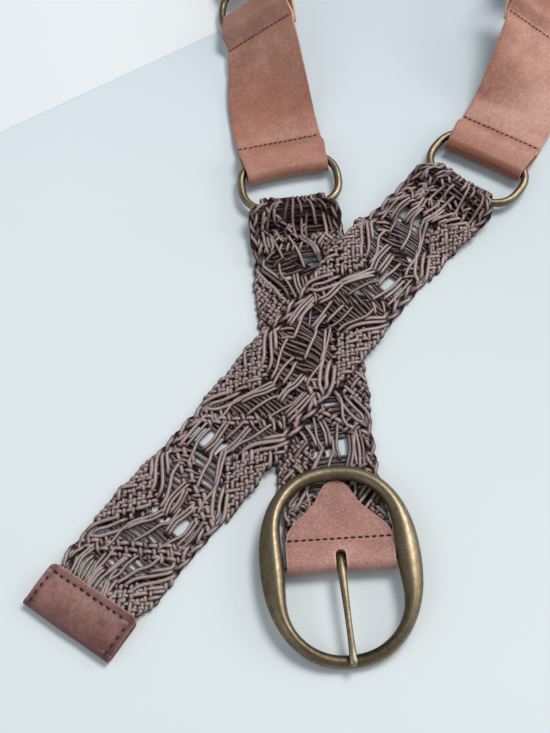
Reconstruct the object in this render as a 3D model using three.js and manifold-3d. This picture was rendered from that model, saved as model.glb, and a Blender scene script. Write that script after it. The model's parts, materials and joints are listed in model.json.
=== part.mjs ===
// Wide braided belt lying open on a flat surface: two braided straps that cross,
// two plain leather panels, four oval rings, a standing braided back piece, a
// folded leather tip and an oval buckle with a prong.  Millimetres, +Z up.
import * as THREE from 'three';
import { mergeVertices } from 'three/addons/utils/BufferGeometryUtils.js';
import Module from 'manifold-3d';

const wasm = await Module();
wasm.setup();

// ---------------------------------------------------------------- sizes
const BRAID = { half: 25.5, stand: 26.3, thick: 3.0, foldBack: 30, wave: 0.7, repeat: 79 };
const LEATHER = { half: 23.75, foldHalf: 22.3, thick: 2.0, stitch: 23.7, flap: 27 };
const RING = { a: 26.6, b: 18.35, wire: 2.15, power: 2.6, height: 5.5, braidFold: 11.4, leatherFold: 5.4 };
const CAP = { half: 24.6, length: 23.2, wall: 1.6, gap: 2.6, tab: 15 };
const TAB = { half: 25.2, thick: 1.9, slotHalf: 2.45, slotEnd: 10, under: 24 };
const BUCKLE = { a: 37.3, b: 47.75, power: 2.25, bar: 2.0, barHeight: 5.6, side: 11.2, front: 6.0, rear: 7.0 };
const CROSS = { lift: 3.5, doubled: 3.5, flat: 26.8, ramp: 24 };

// layout origin to the middle of the belt's outline
const SHIFT = [37.69, 355.38, 0.05];

// where each strap lies: start of the line, compass heading of travel in degrees
const LIE = {
  long:       { x: -88.0, y: 154.1, heading: 47.8, length: 292.6 },
  short:      { x: 25.9, y: 156.0, heading: 93.2, length: 209.4 },
  ringLong:   { x: 116.7, y: 379.8, heading: 49.5, lean: 0 },
  ringShort:  { x: 13.5, y: 376.8, heading: 95.0, lean: 0 },
  panelLong:  { h0: 56.5, h1: 77.5, lean: -35, length: 114 },
  panelShort: { h0: 99.5, h1: 89.5, lean: 38, length: 115 },
  buckle:     { heading: 93.2 },
  cap:        { heading: 53.4 },
};
// the standing back piece: lean of the strap along its length (0 flat, 90 upright)
const BACK_LEAN = [
  { at: 0.00, lean: 38 }, { at: 0.04, lean: 38 }, { at: 0.34, lean: 74 },
  { at: 0.50, lean: 80 }, { at: 0.66, lean: 73 }, { at: 0.96, lean: 35 }, { at: 1.00, lean: 35 },
];
const BACK = { straight: 14, handleStart: 92, handleEnd: 92, turnStart: 0, turnEnd: 0 };
// sideways bow of the long strap, millimetres to its left
const BOW = [{ at: 0, left: 0 }, { at: 90, left: 0.8 }, { at: 160, left: 1.8 }, { at: 236, left: 4.2 }, { at: 294, left: 0 }];

// ---------------------------------------------------------------- materials
const mat = (color, roughness, metalness) => new THREE.MeshStandardMaterial({ color, roughness, metalness });
const MAT = {
  braid: mat(0x735a52, 0.7, 0), panel: mat(0xb97d64, 0.5, 0), cap: mat(0x966458, 0.5, 0),
  tab: mat(0xb27869, 0.8, 0), brass: mat(0x6e5f3c, 0.4, 1),
};

// ---------------------------------------------------------------- helpers
const RAD = Math.PI / 180;
const clamp = (v, a = 0, b = 1) => Math.min(b, Math.max(a, v));
const smooth = (v) => { const k = clamp(v); return k * k * (3 - 2 * k); };
const mix = (a, b, k) => a + (b - a) * k;
function table(rows, key, x) {
  if (x <= rows[0].at) return rows[0][key];
  for (let i = 1; i < rows.length; i++) if (x <= rows[i].at)
    return mix(rows[i - 1][key], rows[i][key], smooth((x - rows[i - 1].at) / (rows[i].at - rows[i - 1].at)));
  return rows[rows.length - 1][key];
}
// a local frame on the surface: t along the strap, w to its right (raised by the lean), n off its face
function frame(x, y, heading, lean = 0, half = BRAID.stand) {
  const c = Math.cos(heading * RAD), s = Math.sin(heading * RAD), cb = Math.cos(lean * RAD), sb = Math.sin(lean * RAD);
  return { x, y, z: half * Math.abs(sb), heading, lean, t: [c, s, 0], w: [s * cb, -c * cb, sb], n: [-s * sb, c * sb, cb] };
}
const at = (f, u, t, h) => [
  f.x + f.t[0] * u + f.w[0] * t + f.n[0] * h,
  f.y + f.t[1] * u + f.w[1] * t + f.n[1] * h,
  f.z + f.t[2] * u + f.w[2] * t + f.n[2] * h];

// bends a plain three.js solid: every corner goes through fn, then the seams are closed
function warp(geometry, fn) {
  const p = geometry.attributes.position;
  for (let i = 0; i < p.count; i++) { const q = fn(p.getX(i), p.getY(i), p.getZ(i)); p.setXYZ(i, q[0], q[1], q[2]); }
  geometry.deleteAttribute('normal'); geometry.deleteAttribute('uv');
  return mergeVertices(geometry, 1e-4);
}
// moves a finished solid's corners into place
function carry(geometry, fn) {
  const p = geometry.attributes.position;
  for (let i = 0; i < p.count; i++) { const q = fn(p.getX(i), p.getY(i), p.getZ(i)); p.setXYZ(i, q[0], q[1], q[2]); }
  return geometry;
}
function toSolid(g) {
  return new wasm.Manifold(new wasm.Mesh({ numProp: 3, vertProperties: new Float32Array(g.attributes.position.array), triVerts: new Uint32Array(g.index.array) }));
}
function toGeometry(solid) {
  const m = solid.getMesh(), g = new THREE.BufferGeometry();
  const v = new Float32Array(m.numVert * 3);
  for (let i = 0; i < m.numVert; i++) for (let k = 0; k < 3; k++) v[i * 3 + k] = m.vertProperties[i * m.numProp + k];
  g.setAttribute('position', new THREE.BufferAttribute(v, 3));
  g.setIndex(new THREE.BufferAttribute(new Uint32Array(m.triVerts), 1));
  return g;
}

// a strap is a box bent along a list of stations {u, h, half}; its section has softened edges
const SECTION = {
  braid:   [{ x: -1, k: 0.5 }, { x: -0.94, k: 1 }, { x: 0.94, k: 1 }, { x: 1, k: 0.5 }],
  draped:  [{ x: -1, k: 0.5 }, { x: -0.94, k: 1 }, { x: -0.47, k: 1 }, { x: 0, k: 1 }, { x: 0.47, k: 1 }, { x: 0.94, k: 1 }, { x: 1, k: 0.5 }],
  leather: [{ x: -1, k: 0.72 }, { x: -0.985, k: 1 }, { x: 0.985, k: 1 }, { x: 1, k: 0.72 }],
};
function strap(stations, section, place) {
  const nx = section.length - 1, ny = stations.length - 1;
  const dir = stations.map((s, i) => {
    const a = stations[Math.max(0, i - 1)], b = stations[Math.min(ny, i + 1)];
    const du = b.u - a.u, dh = b.h - a.h, l = Math.hypot(du, dh);
    return [du / l, dh / l];
  });
  return warp(new THREE.BoxGeometry(1, 1, 1, nx, ny, 1), (x, y, z) => {
    const i = Math.round((x + 0.5) * nx), j = Math.round((y + 0.5) * ny), s = stations[j], e = section[i];
    const off = (z > 0 ? 1 : -1) * s.thick / 2 * e.k, [du, dh] = dir[j];
    const halfSide = e.x < 0 ? (s.halfL ?? s.half) : (s.halfR ?? s.half);
    const t = e.x * halfSide;
    return place(s.u - dh * off + (s.dish ?? 0) * (t / 17) ** 2, t, s.h + du * off);
  });
}
// evenly spaced stations from u0 to u1 with h, half and thick worked out by functions of u
function run(u0, u1, step, h, half, thick) {
  const n = Math.max(1, Math.round(Math.abs(u1 - u0) / step)), out = [];
  for (let i = 0; i <= n; i++) {
    const u = mix(u0, u1, i / n), q = half(u);
    out.push({ u, h: h(u), thick: thick(u), halfL: q[0], halfR: q[1] });
  }
  return out;
}
// half turn round a bar at (u, h): from the top face to the bottom face, apex on the side given by way
function turn(u, h, r, way, steps, thick, half, dish = 0) {
  const out = [];
  for (let i = 0; i <= steps; i++) {
    const a = Math.PI * i / steps;
    out.push({ u: u + way * r * Math.sin(a), h: h + r * Math.cos(a), thick, half, dish: way * dish * Math.sin(a) });
  }
  return out;
}

// ---------------------------------------------------------------- braided straps
// slightly scalloped edges: the two sides are half a repeat apart
const scallop = (u, side, phase) => BRAID.half + BRAID.wave * Math.sin(2 * Math.PI * (u - phase) / BRAID.repeat * 2 + (side ? Math.PI : 0)) * 0.5
  + BRAID.wave * 0.5 * Math.cos(2 * Math.PI * (u - phase) / BRAID.repeat + (side ? Math.PI : 0));
// height of the strap's middle near a folded end; x is the distance from the fold's outer edge
const foldTop = (x) => x < 9.5 ? RING.height + 3.95 : x < 19 ? mix(RING.height + 3.95, 4.95, smooth((x - 9.5) / 9.5))
  : x < 32 ? 4.95 : mix(4.95, BRAID.thick / 2 + 0.05, smooth((x - 32) / 12));
const foldHalf = (x) => x < 1 ? 17 : x < 12 ? mix(17, 24.6, Math.sin((x - 1) / 11 * Math.PI / 2)) : null;
const FLAT = BRAID.thick / 2 + 0.05;
const SNUG = 3.95;                      // middle of the braid to the middle of the ring's wire

function braidHalves(phase, ends) {
  return (u) => {
    let q = [scallop(u, 0, phase), scallop(u, 1, phase)];
    for (const e of ends) { const k = foldHalf(Math.abs(e - u)); if (k) q = [Math.min(q[0], k), Math.min(q[1], k)]; }
    return q;
  };
}
// the fold itself and the layer turned back under the strap; end is the outer edge, way +1 at the strap's far end
function foldedEnd(end, way, steps = 6) {
  const turned = turn(end - way * SNUG, RING.height, SNUG, way, steps, BRAID.thick, 17, 1.1);
  const under = run(end - way * (SNUG + 2.5), end - way * BRAID.foldBack, 4.5, () => RING.height - SNUG,
    (u) => { const x = Math.abs(end - u), k = foldHalf(x) ?? 24.2; return [k, k]; }, () => BRAID.thick);
  return { turned, under };
}

// long strap: starts inside the leather tip, crosses over the short strap, ends round its ring
const longFrame = frame(LIE.long.x, LIE.long.y, LIE.long.heading);
const shortFrame = frame(LIE.short.x, LIE.short.y, LIE.short.heading);
function crossLift(x, y) {
  const d = Math.abs((x - shortFrame.x) * shortFrame.w[0] + (y - shortFrame.y) * shortFrame.w[1]);
  const u = (x - shortFrame.x) * shortFrame.t[0] + (y - shortFrame.y) * shortFrame.t[1];
  return (CROSS.lift + CROSS.doubled * smooth((u - LIE.short.length + 50) / 16)) * (1 - smooth((d - CROSS.flat) / CROSS.ramp));
}
function longStrap() {
  const L = LIE.long.length, capMid = CAP.wall + CAP.gap / 2;
  const inCap = (u) => u < 0;
  const h = (u) => inCap(u) ? capMid : u < 16 ? mix(capMid, FLAT, smooth(u / 16)) : Math.max(FLAT, foldTop(L - u) * (L - u < 44 ? 1 : 0));
  const thick = (u) => u < 2 ? 2.0 : u < 14 ? mix(2.0, BRAID.thick, smooth((u - 2) / 12)) : BRAID.thick;
  const halves = braidHalves(20, [L]);
  const half = (u) => u < 0 ? [22.5, 22.5] : u < 10 ? halves(u).map((q) => mix(22.5, q, smooth(u / 10))) : halves(u);
  const { turned, under } = foldedEnd(L, 1);
  const stations = [...run(-CAP.tab, L - SNUG - 2.2, 5.4, h, half, thick), ...turned, ...under];
  return strap(stations, SECTION.draped, (u, t, hh) => {
    // the first few millimetres turn with the tip's own heading
    const f = longFrame, k = smooth((14 - u) / 14) * (LIE.cap.heading - LIE.long.heading) * RAD;
    const p = at(f, u, t - table(BOW, 'left', u), hh);
    const dx = p[0] - f.x, dy = p[1] - f.y, c = Math.cos(k), s = Math.sin(k);
    if (u < 14) { p[0] = f.x + c * dx - s * dy; p[1] = f.y + s * dx + c * dy; }
    p[2] += crossLift(p[0], p[1]);
    return p;
  });
}
// short strap: starts between the leaves of the buckle tab, ends round its ring
const tabTop = (u) => mix(4.85, BRAID.thick + 0.05, smooth((u - TAB.under - 0.5) / 16));
function shortStrap() {
  const L = LIE.short.length;
  const thick = (u) => mix(2.5, BRAID.thick, smooth((u - TAB.under - 0.5) / 16));
  const h = (u) => u < 60 ? tabTop(u) - thick(u) / 2 : Math.max(FLAT, foldTop(L - u) * (L - u < 44 ? 1 : 0));
  const halves = braidHalves(8, [L]);
  const half = (u) => u < 26 ? halves(u).map((q) => mix(24.4, q, smooth((u - 13) / 13))) : halves(u);
  const { turned, under } = foldedEnd(L, 1);
  const stations = [...run(13, L - SNUG - 2.2, 5.4, h, half, thick), ...turned, ...under];
  return strap(stations, SECTION.braid, (u, t, hh) => at(shortFrame, u, t, hh));
}

// ---------------------------------------------------------------- leather panels
function panelRoute(lie, ring) {
  // the stitched ends are straight, the middle turns and leans
  const headingAt = (u) => mix(lie.h0, lie.h1, smooth((u - 22) / (lie.length - 44)));
  const r = frame(ring.x, ring.y, ring.heading), s = at(r, RING.leatherFold, 0, 0), n = 60, pts = [[s[0], s[1]]];
  for (let i = 1; i <= n; i++) {
    const hd = headingAt((i - 0.5) / n * lie.length) * RAD, d = lie.length / n, q = pts[i - 1];
    pts.push([q[0] + Math.cos(hd) * d, q[1] + Math.sin(hd) * d]);
  }
  return (u) => {
    const k = clamp(u / lie.length) * n, i = Math.min(n - 1, Math.floor(k)), m = k - i, hd = headingAt(u);
    const f = frame(mix(pts[i][0], pts[i + 1][0], m), mix(pts[i][1], pts[i + 1][1], m), hd, lie.lean * smooth((u - 20) / (lie.length - 40)));
    f.extra = u - clamp(u, 0, lie.length);
    return f;
  };
}
const panelLongRoute = panelRoute(LIE.panelLong, LIE.ringLong), panelShortRoute = panelRoute(LIE.panelShort, LIE.ringShort);
const LSNUG = 3.45;
const leatherTop = (x) => x < 14.5 ? RING.height + LSNUG : x < 23 ? mix(RING.height + LSNUG, 3.35, smooth((x - 14.5) / 8.5)) : x < 28 ? 3.35 : mix(3.35, 1.6, smooth((x - 28) / 14));
const leatherUnder = (x) => x < 15.5 ? RING.height - LSNUG : mix(RING.height - LSNUG, 1.05, smooth((x - 15.5) / 4.5));
const leatherHalf = (x) => mix(LEATHER.foldHalf, LEATHER.half, smooth(x / 18));
function panel(lie, route) {
  const L = lie.length, T = LEATHER.thick, thick = () => T;
  const half = (u) => { const q = leatherHalf(Math.min(u, L - u)); return [q, q]; };
  const stations = [
    ...run(LEATHER.flap, LSNUG + 1.2, 3.6, (u) => leatherUnder(u), half, thick),
    ...turn(LSNUG, RING.height, LSNUG, -1, 6, T, LEATHER.foldHalf, 0.6).reverse(),
    ...run(LSNUG + 2.2, L - LSNUG - 2.2, 4.6, (u) => leatherTop(Math.min(u, L - u)), half, thick),
    ...turn(L - LSNUG, RING.height, LSNUG, 1, 6, T, LEATHER.foldHalf, 0.6),
    ...run(L - LSNUG - 1.2, L - LEATHER.flap, 3.6, (u) => leatherUnder(L - u), half, thick),
  ];
  return strap(stations, SECTION.leather, (u, t, h) => { const f = route(u); return at(f, f.extra, t, h); });
}

// ---------------------------------------------------------------- rings
const power = (v, p) => Math.sign(v) * Math.abs(v) ** p;
const oval = (a, b, p, ang) => [a * power(Math.cos(ang), 2 / p), b * power(Math.sin(ang), 2 / p)];
function ringGeometry(f) {
  const N = 34, M = 8;
  return warp(new THREE.TorusGeometry(10, 1, M, N), (x, y, z) => {
    const ang = Math.atan2(y, x), rad = Math.hypot(x, y) - 10, c = oval(RING.a, RING.b, RING.power, ang);
    // outward direction of the oval
    const e = 1e-3, d0 = oval(RING.a, RING.b, RING.power, ang - e), d1 = oval(RING.a, RING.b, RING.power, ang + e);
    const l = Math.hypot(d1[0] - d0[0], d1[1] - d0[1]), nx = (d1[1] - d0[1]) / l, ny = -(d1[0] - d0[0]) / l;
    return at(f, c[1] + ny * rad * RING.wire, c[0] + nx * rad * RING.wire, RING.height + z * RING.wire);
  });
}
const ringFrame = (r) => frame(r.x, r.y, r.heading);
const farRingFrame = (lie, route) => {
  const f = route(lie.length), o = at(f, RING.leatherFold, 0, 0);
  return frame(o[0], o[1], f.heading, f.lean);
};

// ---------------------------------------------------------------- back piece
const ringBackShort = farRingFrame(LIE.panelShort, panelShortRoute), ringBackLong = farRingFrame(LIE.panelLong, panelLongRoute);
function backRoute() {
  const a = ringBackShort, b = ringBackLong, E = BACK.straight;
  const h0 = a.heading + BACK.turnStart, h1 = b.heading + BACK.turnEnd;
  const c0 = [Math.cos(h0 * RAD), Math.sin(h0 * RAD)], c1 = [Math.cos(h1 * RAD), Math.sin(h1 * RAD)];
  const start = [a.x + c0[0] * RING.braidFold, a.y + c0[1] * RING.braidFold], end = [b.x + c1[0] * RING.braidFold, b.y + c1[1] * RING.braidFold];
  const p0 = [start[0] + c0[0] * E, start[1] + c0[1] * E], p1 = [end[0] + c1[0] * E, end[1] + c1[1] * E];
  const curve = new THREE.CubicBezierCurve3(new THREE.Vector3(p0[0], p0[1], 0),
    new THREE.Vector3(p0[0] + c0[0] * BACK.handleStart, p0[1] + c0[1] * BACK.handleStart, 0),
    new THREE.Vector3(p1[0] + c1[0] * BACK.handleEnd, p1[1] + c1[1] * BACK.handleEnd, 0), new THREE.Vector3(p1[0], p1[1], 0));
  curve.arcLengthDivisions = 800;
  const bend = curve.getLength(), length = bend + 2 * E;
  return { length, at: (u) => {
    const k = clamp((u - E) / bend), lean = table(BACK_LEAN, 'lean', k);
    if (u <= E) return { ...frame(start[0], start[1], h0, lean), extra: u };
    if (u >= length - E) return { ...frame(end[0], end[1], h1 + 180, lean), extra: u - length };
    const p = curve.getPointAt(k), t = curve.getTangentAt(k);
    return { ...frame(p.x, p.y, Math.atan2(t.y, t.x) / RAD, lean), extra: 0 };
  } };
}
const back = backRoute();
function backStrap() {
  const L = back.length, thick = () => BRAID.thick;
  const h = (u) => Math.max(FLAT, foldTop(Math.min(u, L - u)) * (Math.min(u, L - u) < 44 ? 1 : 0));
  const halves = braidHalves(0, [0, L]);
  const a = foldedEnd(0, -1), b = foldedEnd(L, 1);
  const stations = [...a.under.reverse(), ...a.turned.reverse(), ...run(SNUG + 2.2, L - SNUG - 2.2, 6.0, h, halves, thick), ...b.turned, ...b.under];
  return strap(stations, SECTION.braid, (u, t, hh) => { const f = back.at(u); return at(f, f.extra, t, hh); });
}

// ---------------------------------------------------------------- leather tip
function tipCap() {
  const T = CAP.wall, mid = (CAP.gap + T) / 2, c = T + CAP.gap / 2, L = CAP.length;
  const f = frame(LIE.long.x, LIE.long.y, LIE.cap.heading);
  // u is 0 at the mouth and -L at the folded tip
  const half = (u) => { const q = u > -2.5 ? mix(CAP.half - 1.2, CAP.half, smooth(-u / 2.5)) : CAP.half; return [q, q]; };
  const pinch = () => mid;
  const stations = [
    ...run(0, -L + mid + T / 2 + 1.5, 4, (u) => c - pinch(u), half, () => T),
    ...turn(-L + mid + T / 2, c, mid, -1, 6, T, CAP.half).reverse(),
    ...run(-L + mid + T / 2 + 1.5, 0, 4, (u) => c + pinch(u), half, () => T),
  ];
  return strap(stations, SECTION.leather, (u, t, h) => at(f, u, t, h + 0.05));
}

// ---------------------------------------------------------------- buckle tab
const FLAP = [
  { at: 0, half: 25.2 }, { at: 15.8, half: 24.9 }, { at: 19.0, half: 24.7 }, { at: 22.0, half: 23.0 }, { at: 26.0, half: 19.6 },
  { at: 30.0, half: 15.6 }, { at: 34.0, half: 11.8 }, { at: 37.8, half: 8.6 }, { at: 41.0, half: 6.3 }, { at: 42.8, half: 4.3 }, { at: 43.9, half: 2.3 }, { at: 44.3, half: 0.7 },
];
const flapHalf = (u) => { for (let i = 1; i < FLAP.length; i++) if (u <= FLAP[i].at) return mix(FLAP[i - 1].half, FLAP[i].half, (u - FLAP[i - 1].at) / (FLAP[i].at - FLAP[i - 1].at)); return 0.7; };
// rounded ends of the prong's slot: distance before the slot's end and half width there
const SLOT_END = [{ before: 2.45, half: 2.45 }, { before: 0.9, half: 1.9 }, { before: 0.0, half: 0.8 }];
function buckleTab() {
  const T = TAB.thick, r = BUCKLE.bar + 0.35 + T / 2, c = r + T / 2, H = BUCKLE.barHeight, W = TAB.half - 0.1;
  const top = (u) => mix(H + r, tabTop(u) + 0.4 + T / 2, smooth((u - c) / (14 - c)));
  const under = (u) => mix(H - r, T / 2 + 0.1, smooth((u - c) / (12 - c)));
  const leaf = (h, half) => (q) => ({ u: q.u, h: h(q.u), thick: T, half: half(q.u), slot: q.slot ?? TAB.slotHalf, open: q.open ?? false });
  const ends = SLOT_END.map((e, i) => ({ u: TAB.slotEnd - e.before, slot: e.half, open: i < SLOT_END.length - 1 }));
  const near = [c + 1.4].map((u) => ({ u, open: true }));
  const underLeaf = [{ u: TAB.under }, { u: 17 }, { u: 12 }, ...[...ends].reverse().map((e, i) => ({ ...e, open: i > 0 })), ...[...near].reverse()].map(leaf(under, () => W));
  const fold = turn(c, H, r, -1, 8, T, W).reverse().map((q) => ({ ...q, slot: TAB.slotHalf, open: true }));
  const topLeaf = [...near, ...ends, { u: 12 }, { u: 14 }, ...FLAP.filter((q) => q.at > 15).map((q) => ({ u: q.at }))].map(leaf(top, flapHalf));
  // a cell is missing between two stations inside the slot
  const stations = [...underLeaf, ...fold, ...topLeaf];
  const inSlot = (j) => { const a = stations[j], b = stations[j + 1], m = (a.u + b.u) / 2; return m < TAB.slotEnd && j > 2 && j < stations.length - 2; };
  return slotted(stations, inSlot, (u, t, h) => at(shortFrame, u, t, h));
}
// a bent leather strip built cell by cell, its middle column left out where inSlot says so
function slotted(stations, inSlot, place) {
  const rows = stations.length, cols = 6, vertices = [], triangles = [];
  const v = (i, j, side) => (j * cols + i) * 2 + side;
  stations.forEach((s, j) => {
    const a = stations[Math.max(0, j - 1)], b = stations[Math.min(rows - 1, j + 1)], l = Math.hypot(b.u - a.u, b.h - a.h);
    const du = (b.u - a.u) / l, dh = (b.h - a.h) / l, k = Math.min(s.slot, s.half * 0.4);
    [-s.half, -s.half * 0.985, -k, k, s.half * 0.985, s.half].forEach((t, i) => {
      const off = s.thick / 2 * (i === 0 || i === cols - 1 ? 0.72 : 1);
      for (const side of [-1, 1]) vertices.push(...place(s.u - dh * off * side, t, s.h + du * off * side));
    });
  });
  const there = (i, j) => i >= 0 && j >= 0 && i < cols - 1 && j < rows - 1 && !(i === 2 && inSlot(j));
  const quad = (a, b, c, d) => triangles.push(a, b, c, a, c, d);
  for (let j = 0; j < rows - 1; j++) for (let i = 0; i < cols - 1; i++) {
    if (!there(i, j)) continue;
    const ring = [[i, j], [i + 1, j], [i + 1, j + 1], [i, j + 1]];
    quad(...ring.map(([x, y]) => v(x, y, 1)));
    quad(...[...ring].reverse().map(([x, y]) => v(x, y, 0)));
    [[i, j - 1], [i + 1, j], [i, j + 1], [i - 1, j]].forEach(([x, y], e) => {
      if (there(x, y)) return;
      const p = ring[e], q = ring[(e + 1) % 4];
      quad(v(q[0], q[1], 1), v(p[0], p[1], 1), v(p[0], p[1], 0), v(q[0], q[1], 0));
    });
  }
  const g = new THREE.BufferGeometry();
  g.setAttribute('position', new THREE.BufferAttribute(new Float32Array(vertices), 3));
  g.setIndex(triangles);
  return g;
}

// ---------------------------------------------------------------- buckle
// the bar's middle, in the strap's frame; x to the right, y backwards over the strap, z up
const barCentre = at(shortFrame, BUCKLE.bar + 0.35 + TAB.thick, 0, 0);
const buckleFrameAxes = frame(barCentre[0], barCentre[1], LIE.buckle.heading);
const onBuckle = (x, y, z) => at(buckleFrameAxes, y, x - 0.4, z + BUCKLE.barHeight);
function buckleSection(ang) {
  const s = Math.sin(ang), c = Math.abs(Math.cos(ang)), end = s < 0 ? BUCKLE.front : BUCKLE.rear;
  const swell = c ** 10;
  return {
    width: mix(end, BUCKLE.side, swell),
    height: mix(s < 0 ? 5.5 : 6.0, 8.6, c ** 1.5),
    rise: mix(s < 0 ? -2.75 : 1.3, 2.6, c ** 1.3),
  };
}
function buckle() {
  const N = 56, M = 10;
  const loop = warp(new THREE.TorusGeometry(10, 1, M, N), (x, y, z) => {
    const ang = Math.atan2(y, x), rad = Math.hypot(x, y) - 10, q = buckleSection(ang), e = 1e-3;
    const o = oval(BUCKLE.a, BUCKLE.b, BUCKLE.power, ang), d0 = oval(BUCKLE.a, BUCKLE.b, BUCKLE.power, ang - e), d1 = oval(BUCKLE.a, BUCKLE.b, BUCKLE.power, ang + e);
    const l = Math.hypot(d1[0] - d0[0], d1[1] - d0[1]), nx = (d1[1] - d0[1]) / l, ny = -(d1[0] - d0[0]) / l;
    const m = (rad - 1) * q.width / 2;
    return [o[0] + nx * m, o[1] + ny * m, q.rise + z * q.height / 2];
  });
  const bar = warp(new THREE.CylinderGeometry(BUCKLE.bar, BUCKLE.bar, 60, 12), (x, y, z) => [y, -x, z]);
  return carry(toGeometry(toSolid(loop).add(toSolid(bar))), onBuckle);
}
function prong() {
  // shank from over the bar to the outer edge of the front: distance ahead, height, half width, half depth
  const SHANK = [
    { at: 0.0, z: 3.45, wide: 1.55, deep: 1.05 }, { at: 4.0, z: 3.7, wide: 1.9, deep: 1.45 }, { at: 10.0, z: 3.75, wide: 1.85, deep: 1.5 },
    { at: 20.0, z: 3.6, wide: 1.6, deep: 1.4 }, { at: 32.0, z: 3.0, wide: 1.45, deep: 1.3 }, { at: 40.0, z: 2.3, wide: 1.6, deep: 1.35 },
    { at: 44.5, z: 1.95, wide: 1.85, deep: 1.4 }, { at: 47.0, z: 1.85, wide: 1.7, deep: 1.25 }, { at: 47.9, z: 1.8, wide: 0.9, deep: 0.7 },
  ];
  const n = SHANK.length - 1;
  const shank = warp(new THREE.CylinderGeometry(1, 1, 1, 10, n), (x, y, z) => {
    const s = SHANK[Math.round((0.5 - y) * n)];
    return [x * s.wide, -s.at, s.z + z * s.deep];
  });
  const eye = warp(new THREE.TorusGeometry(3.5, 1.1, 8, 20), (x, y, z) => [z * 1.5, x, y]);
  return carry(toGeometry(toSolid(shank).add(toSolid(eye))), onBuckle);
}

// ---------------------------------------------------------------- assembly
const belt = new THREE.Group();
const PIECES = [
  { name: 'braid_long', geometry: longStrap(), material: MAT.braid },
  { name: 'braid_short', geometry: shortStrap(), material: MAT.braid },
  { name: 'braid_back', geometry: backStrap(), material: MAT.braid },
  { name: 'tip_cap', geometry: tipCap(), material: MAT.cap },
  { name: 'buckle_tab', geometry: buckleTab(), material: MAT.tab },
  { name: 'buckle_frame', geometry: buckle(), material: MAT.brass },
  { name: 'prong', geometry: prong(), material: MAT.brass },
  { name: 'panel_long', geometry: panel(LIE.panelLong, panelLongRoute), material: MAT.panel },
  { name: 'panel_short', geometry: panel(LIE.panelShort, panelShortRoute), material: MAT.panel },
  { name: 'ring_front_long', geometry: ringGeometry(ringFrame(LIE.ringLong)), material: MAT.brass },
  { name: 'ring_front_short', geometry: ringGeometry(ringFrame(LIE.ringShort)), material: MAT.brass },
  { name: 'ring_back_long', geometry: ringGeometry(ringBackLong), material: MAT.brass },
  { name: 'ring_back_short', geometry: ringGeometry(ringBackShort), material: MAT.brass },
];
for (const p of PIECES) {
  const mesh = new THREE.Mesh(p.geometry, p.material);
  mesh.name = p.name;
  belt.add(mesh);
}
belt.position.set(-SHIFT[0], -SHIFT[1], -SHIFT[2]);
export default belt;
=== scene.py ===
# Wide braided belt lying open on a pale floor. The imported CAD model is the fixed
# frame; the soft parts are built here cord by cord and leaf by leaf around it.
# Lengths are worked out in millimetres in the layout of the belt and turned into
# metres when a mesh is made.
import json
import math

import bmesh
import bpy
import numpy as np
from mathutils import Matrix, Vector

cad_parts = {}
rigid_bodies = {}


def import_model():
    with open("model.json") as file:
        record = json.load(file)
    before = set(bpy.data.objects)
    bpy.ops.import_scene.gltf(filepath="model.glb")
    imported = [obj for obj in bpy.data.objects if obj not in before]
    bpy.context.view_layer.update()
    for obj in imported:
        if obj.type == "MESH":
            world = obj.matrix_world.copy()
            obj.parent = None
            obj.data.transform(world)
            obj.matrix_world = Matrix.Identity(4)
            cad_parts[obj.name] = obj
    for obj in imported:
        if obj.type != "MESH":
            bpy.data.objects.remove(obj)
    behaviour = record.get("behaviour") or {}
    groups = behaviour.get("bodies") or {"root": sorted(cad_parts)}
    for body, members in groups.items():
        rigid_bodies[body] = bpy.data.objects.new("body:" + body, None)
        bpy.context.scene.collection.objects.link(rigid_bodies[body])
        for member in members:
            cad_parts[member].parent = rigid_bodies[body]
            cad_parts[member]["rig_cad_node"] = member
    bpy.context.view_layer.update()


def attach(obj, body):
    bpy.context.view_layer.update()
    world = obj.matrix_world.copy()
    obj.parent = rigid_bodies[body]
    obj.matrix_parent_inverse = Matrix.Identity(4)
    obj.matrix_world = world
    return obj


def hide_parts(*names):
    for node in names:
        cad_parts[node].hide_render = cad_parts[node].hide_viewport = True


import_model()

# ------------------------------------------------------------------ sizes
SHIFT = np.array([37.69, 355.38, 0.05])
BRAID_HALF, BRAID_STAND, BRAID_THICK, FOLD_BACK = 25.5, 26.3, 3.0, 30.0
RING_A, RING_B, RING_WIRE, RING_POWER, RING_H = 26.6, 18.35, 2.15, 2.6, 5.5
BRAID_FOLD, LEATHER_FOLD = 11.4, 5.4
LEATHER_HALF, LEATHER_FOLD_HALF, LEATHER_T, LEATHER_FLAP, STITCH_AT = 23.75, 22.3, 2.0, 27.0, 23.7
CAP_HALF, CAP_L, CAP_WALL, CAP_GAP = 24.6, 23.2, 1.6, 2.6
TAB_HALF, TAB_T, TAB_SLOT, TAB_SLOT_END, TAB_UNDER = 25.2, 1.9, 2.45, 10.0, 24.0
B_A, B_B, B_POWER, B_BAR, B_BAR_H, B_SIDE, B_FRONT, B_REAR = 37.3, 47.75, 2.25, 2.0, 5.6, 11.2, 6.0, 7.0
CROSS_LIFT, CROSS_DOUBLED, CROSS_FLAT, CROSS_RAMP = 3.5, 3.5, 26.8, 24.0
LONG = dict(x=-88.0, y=154.1, heading=47.8, length=292.6)
SHORT = dict(x=25.9, y=156.0, heading=93.2, length=209.4)
RING_LONG = dict(x=116.7, y=379.8, heading=49.5)
RING_SHORT = dict(x=13.5, y=376.8, heading=95.0)
PANEL_LONG = dict(h0=56.5, h1=77.5, lean=-35.0, length=114.0)
PANEL_SHORT = dict(h0=99.5, h1=89.5, lean=38.0, length=115.0)
CAP_HEADING = 53.4
BACK_LEAN = [(0.00, 38), (0.04, 38), (0.34, 74), (0.50, 80), (0.66, 73), (0.96, 35), (1.00, 35)]
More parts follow.
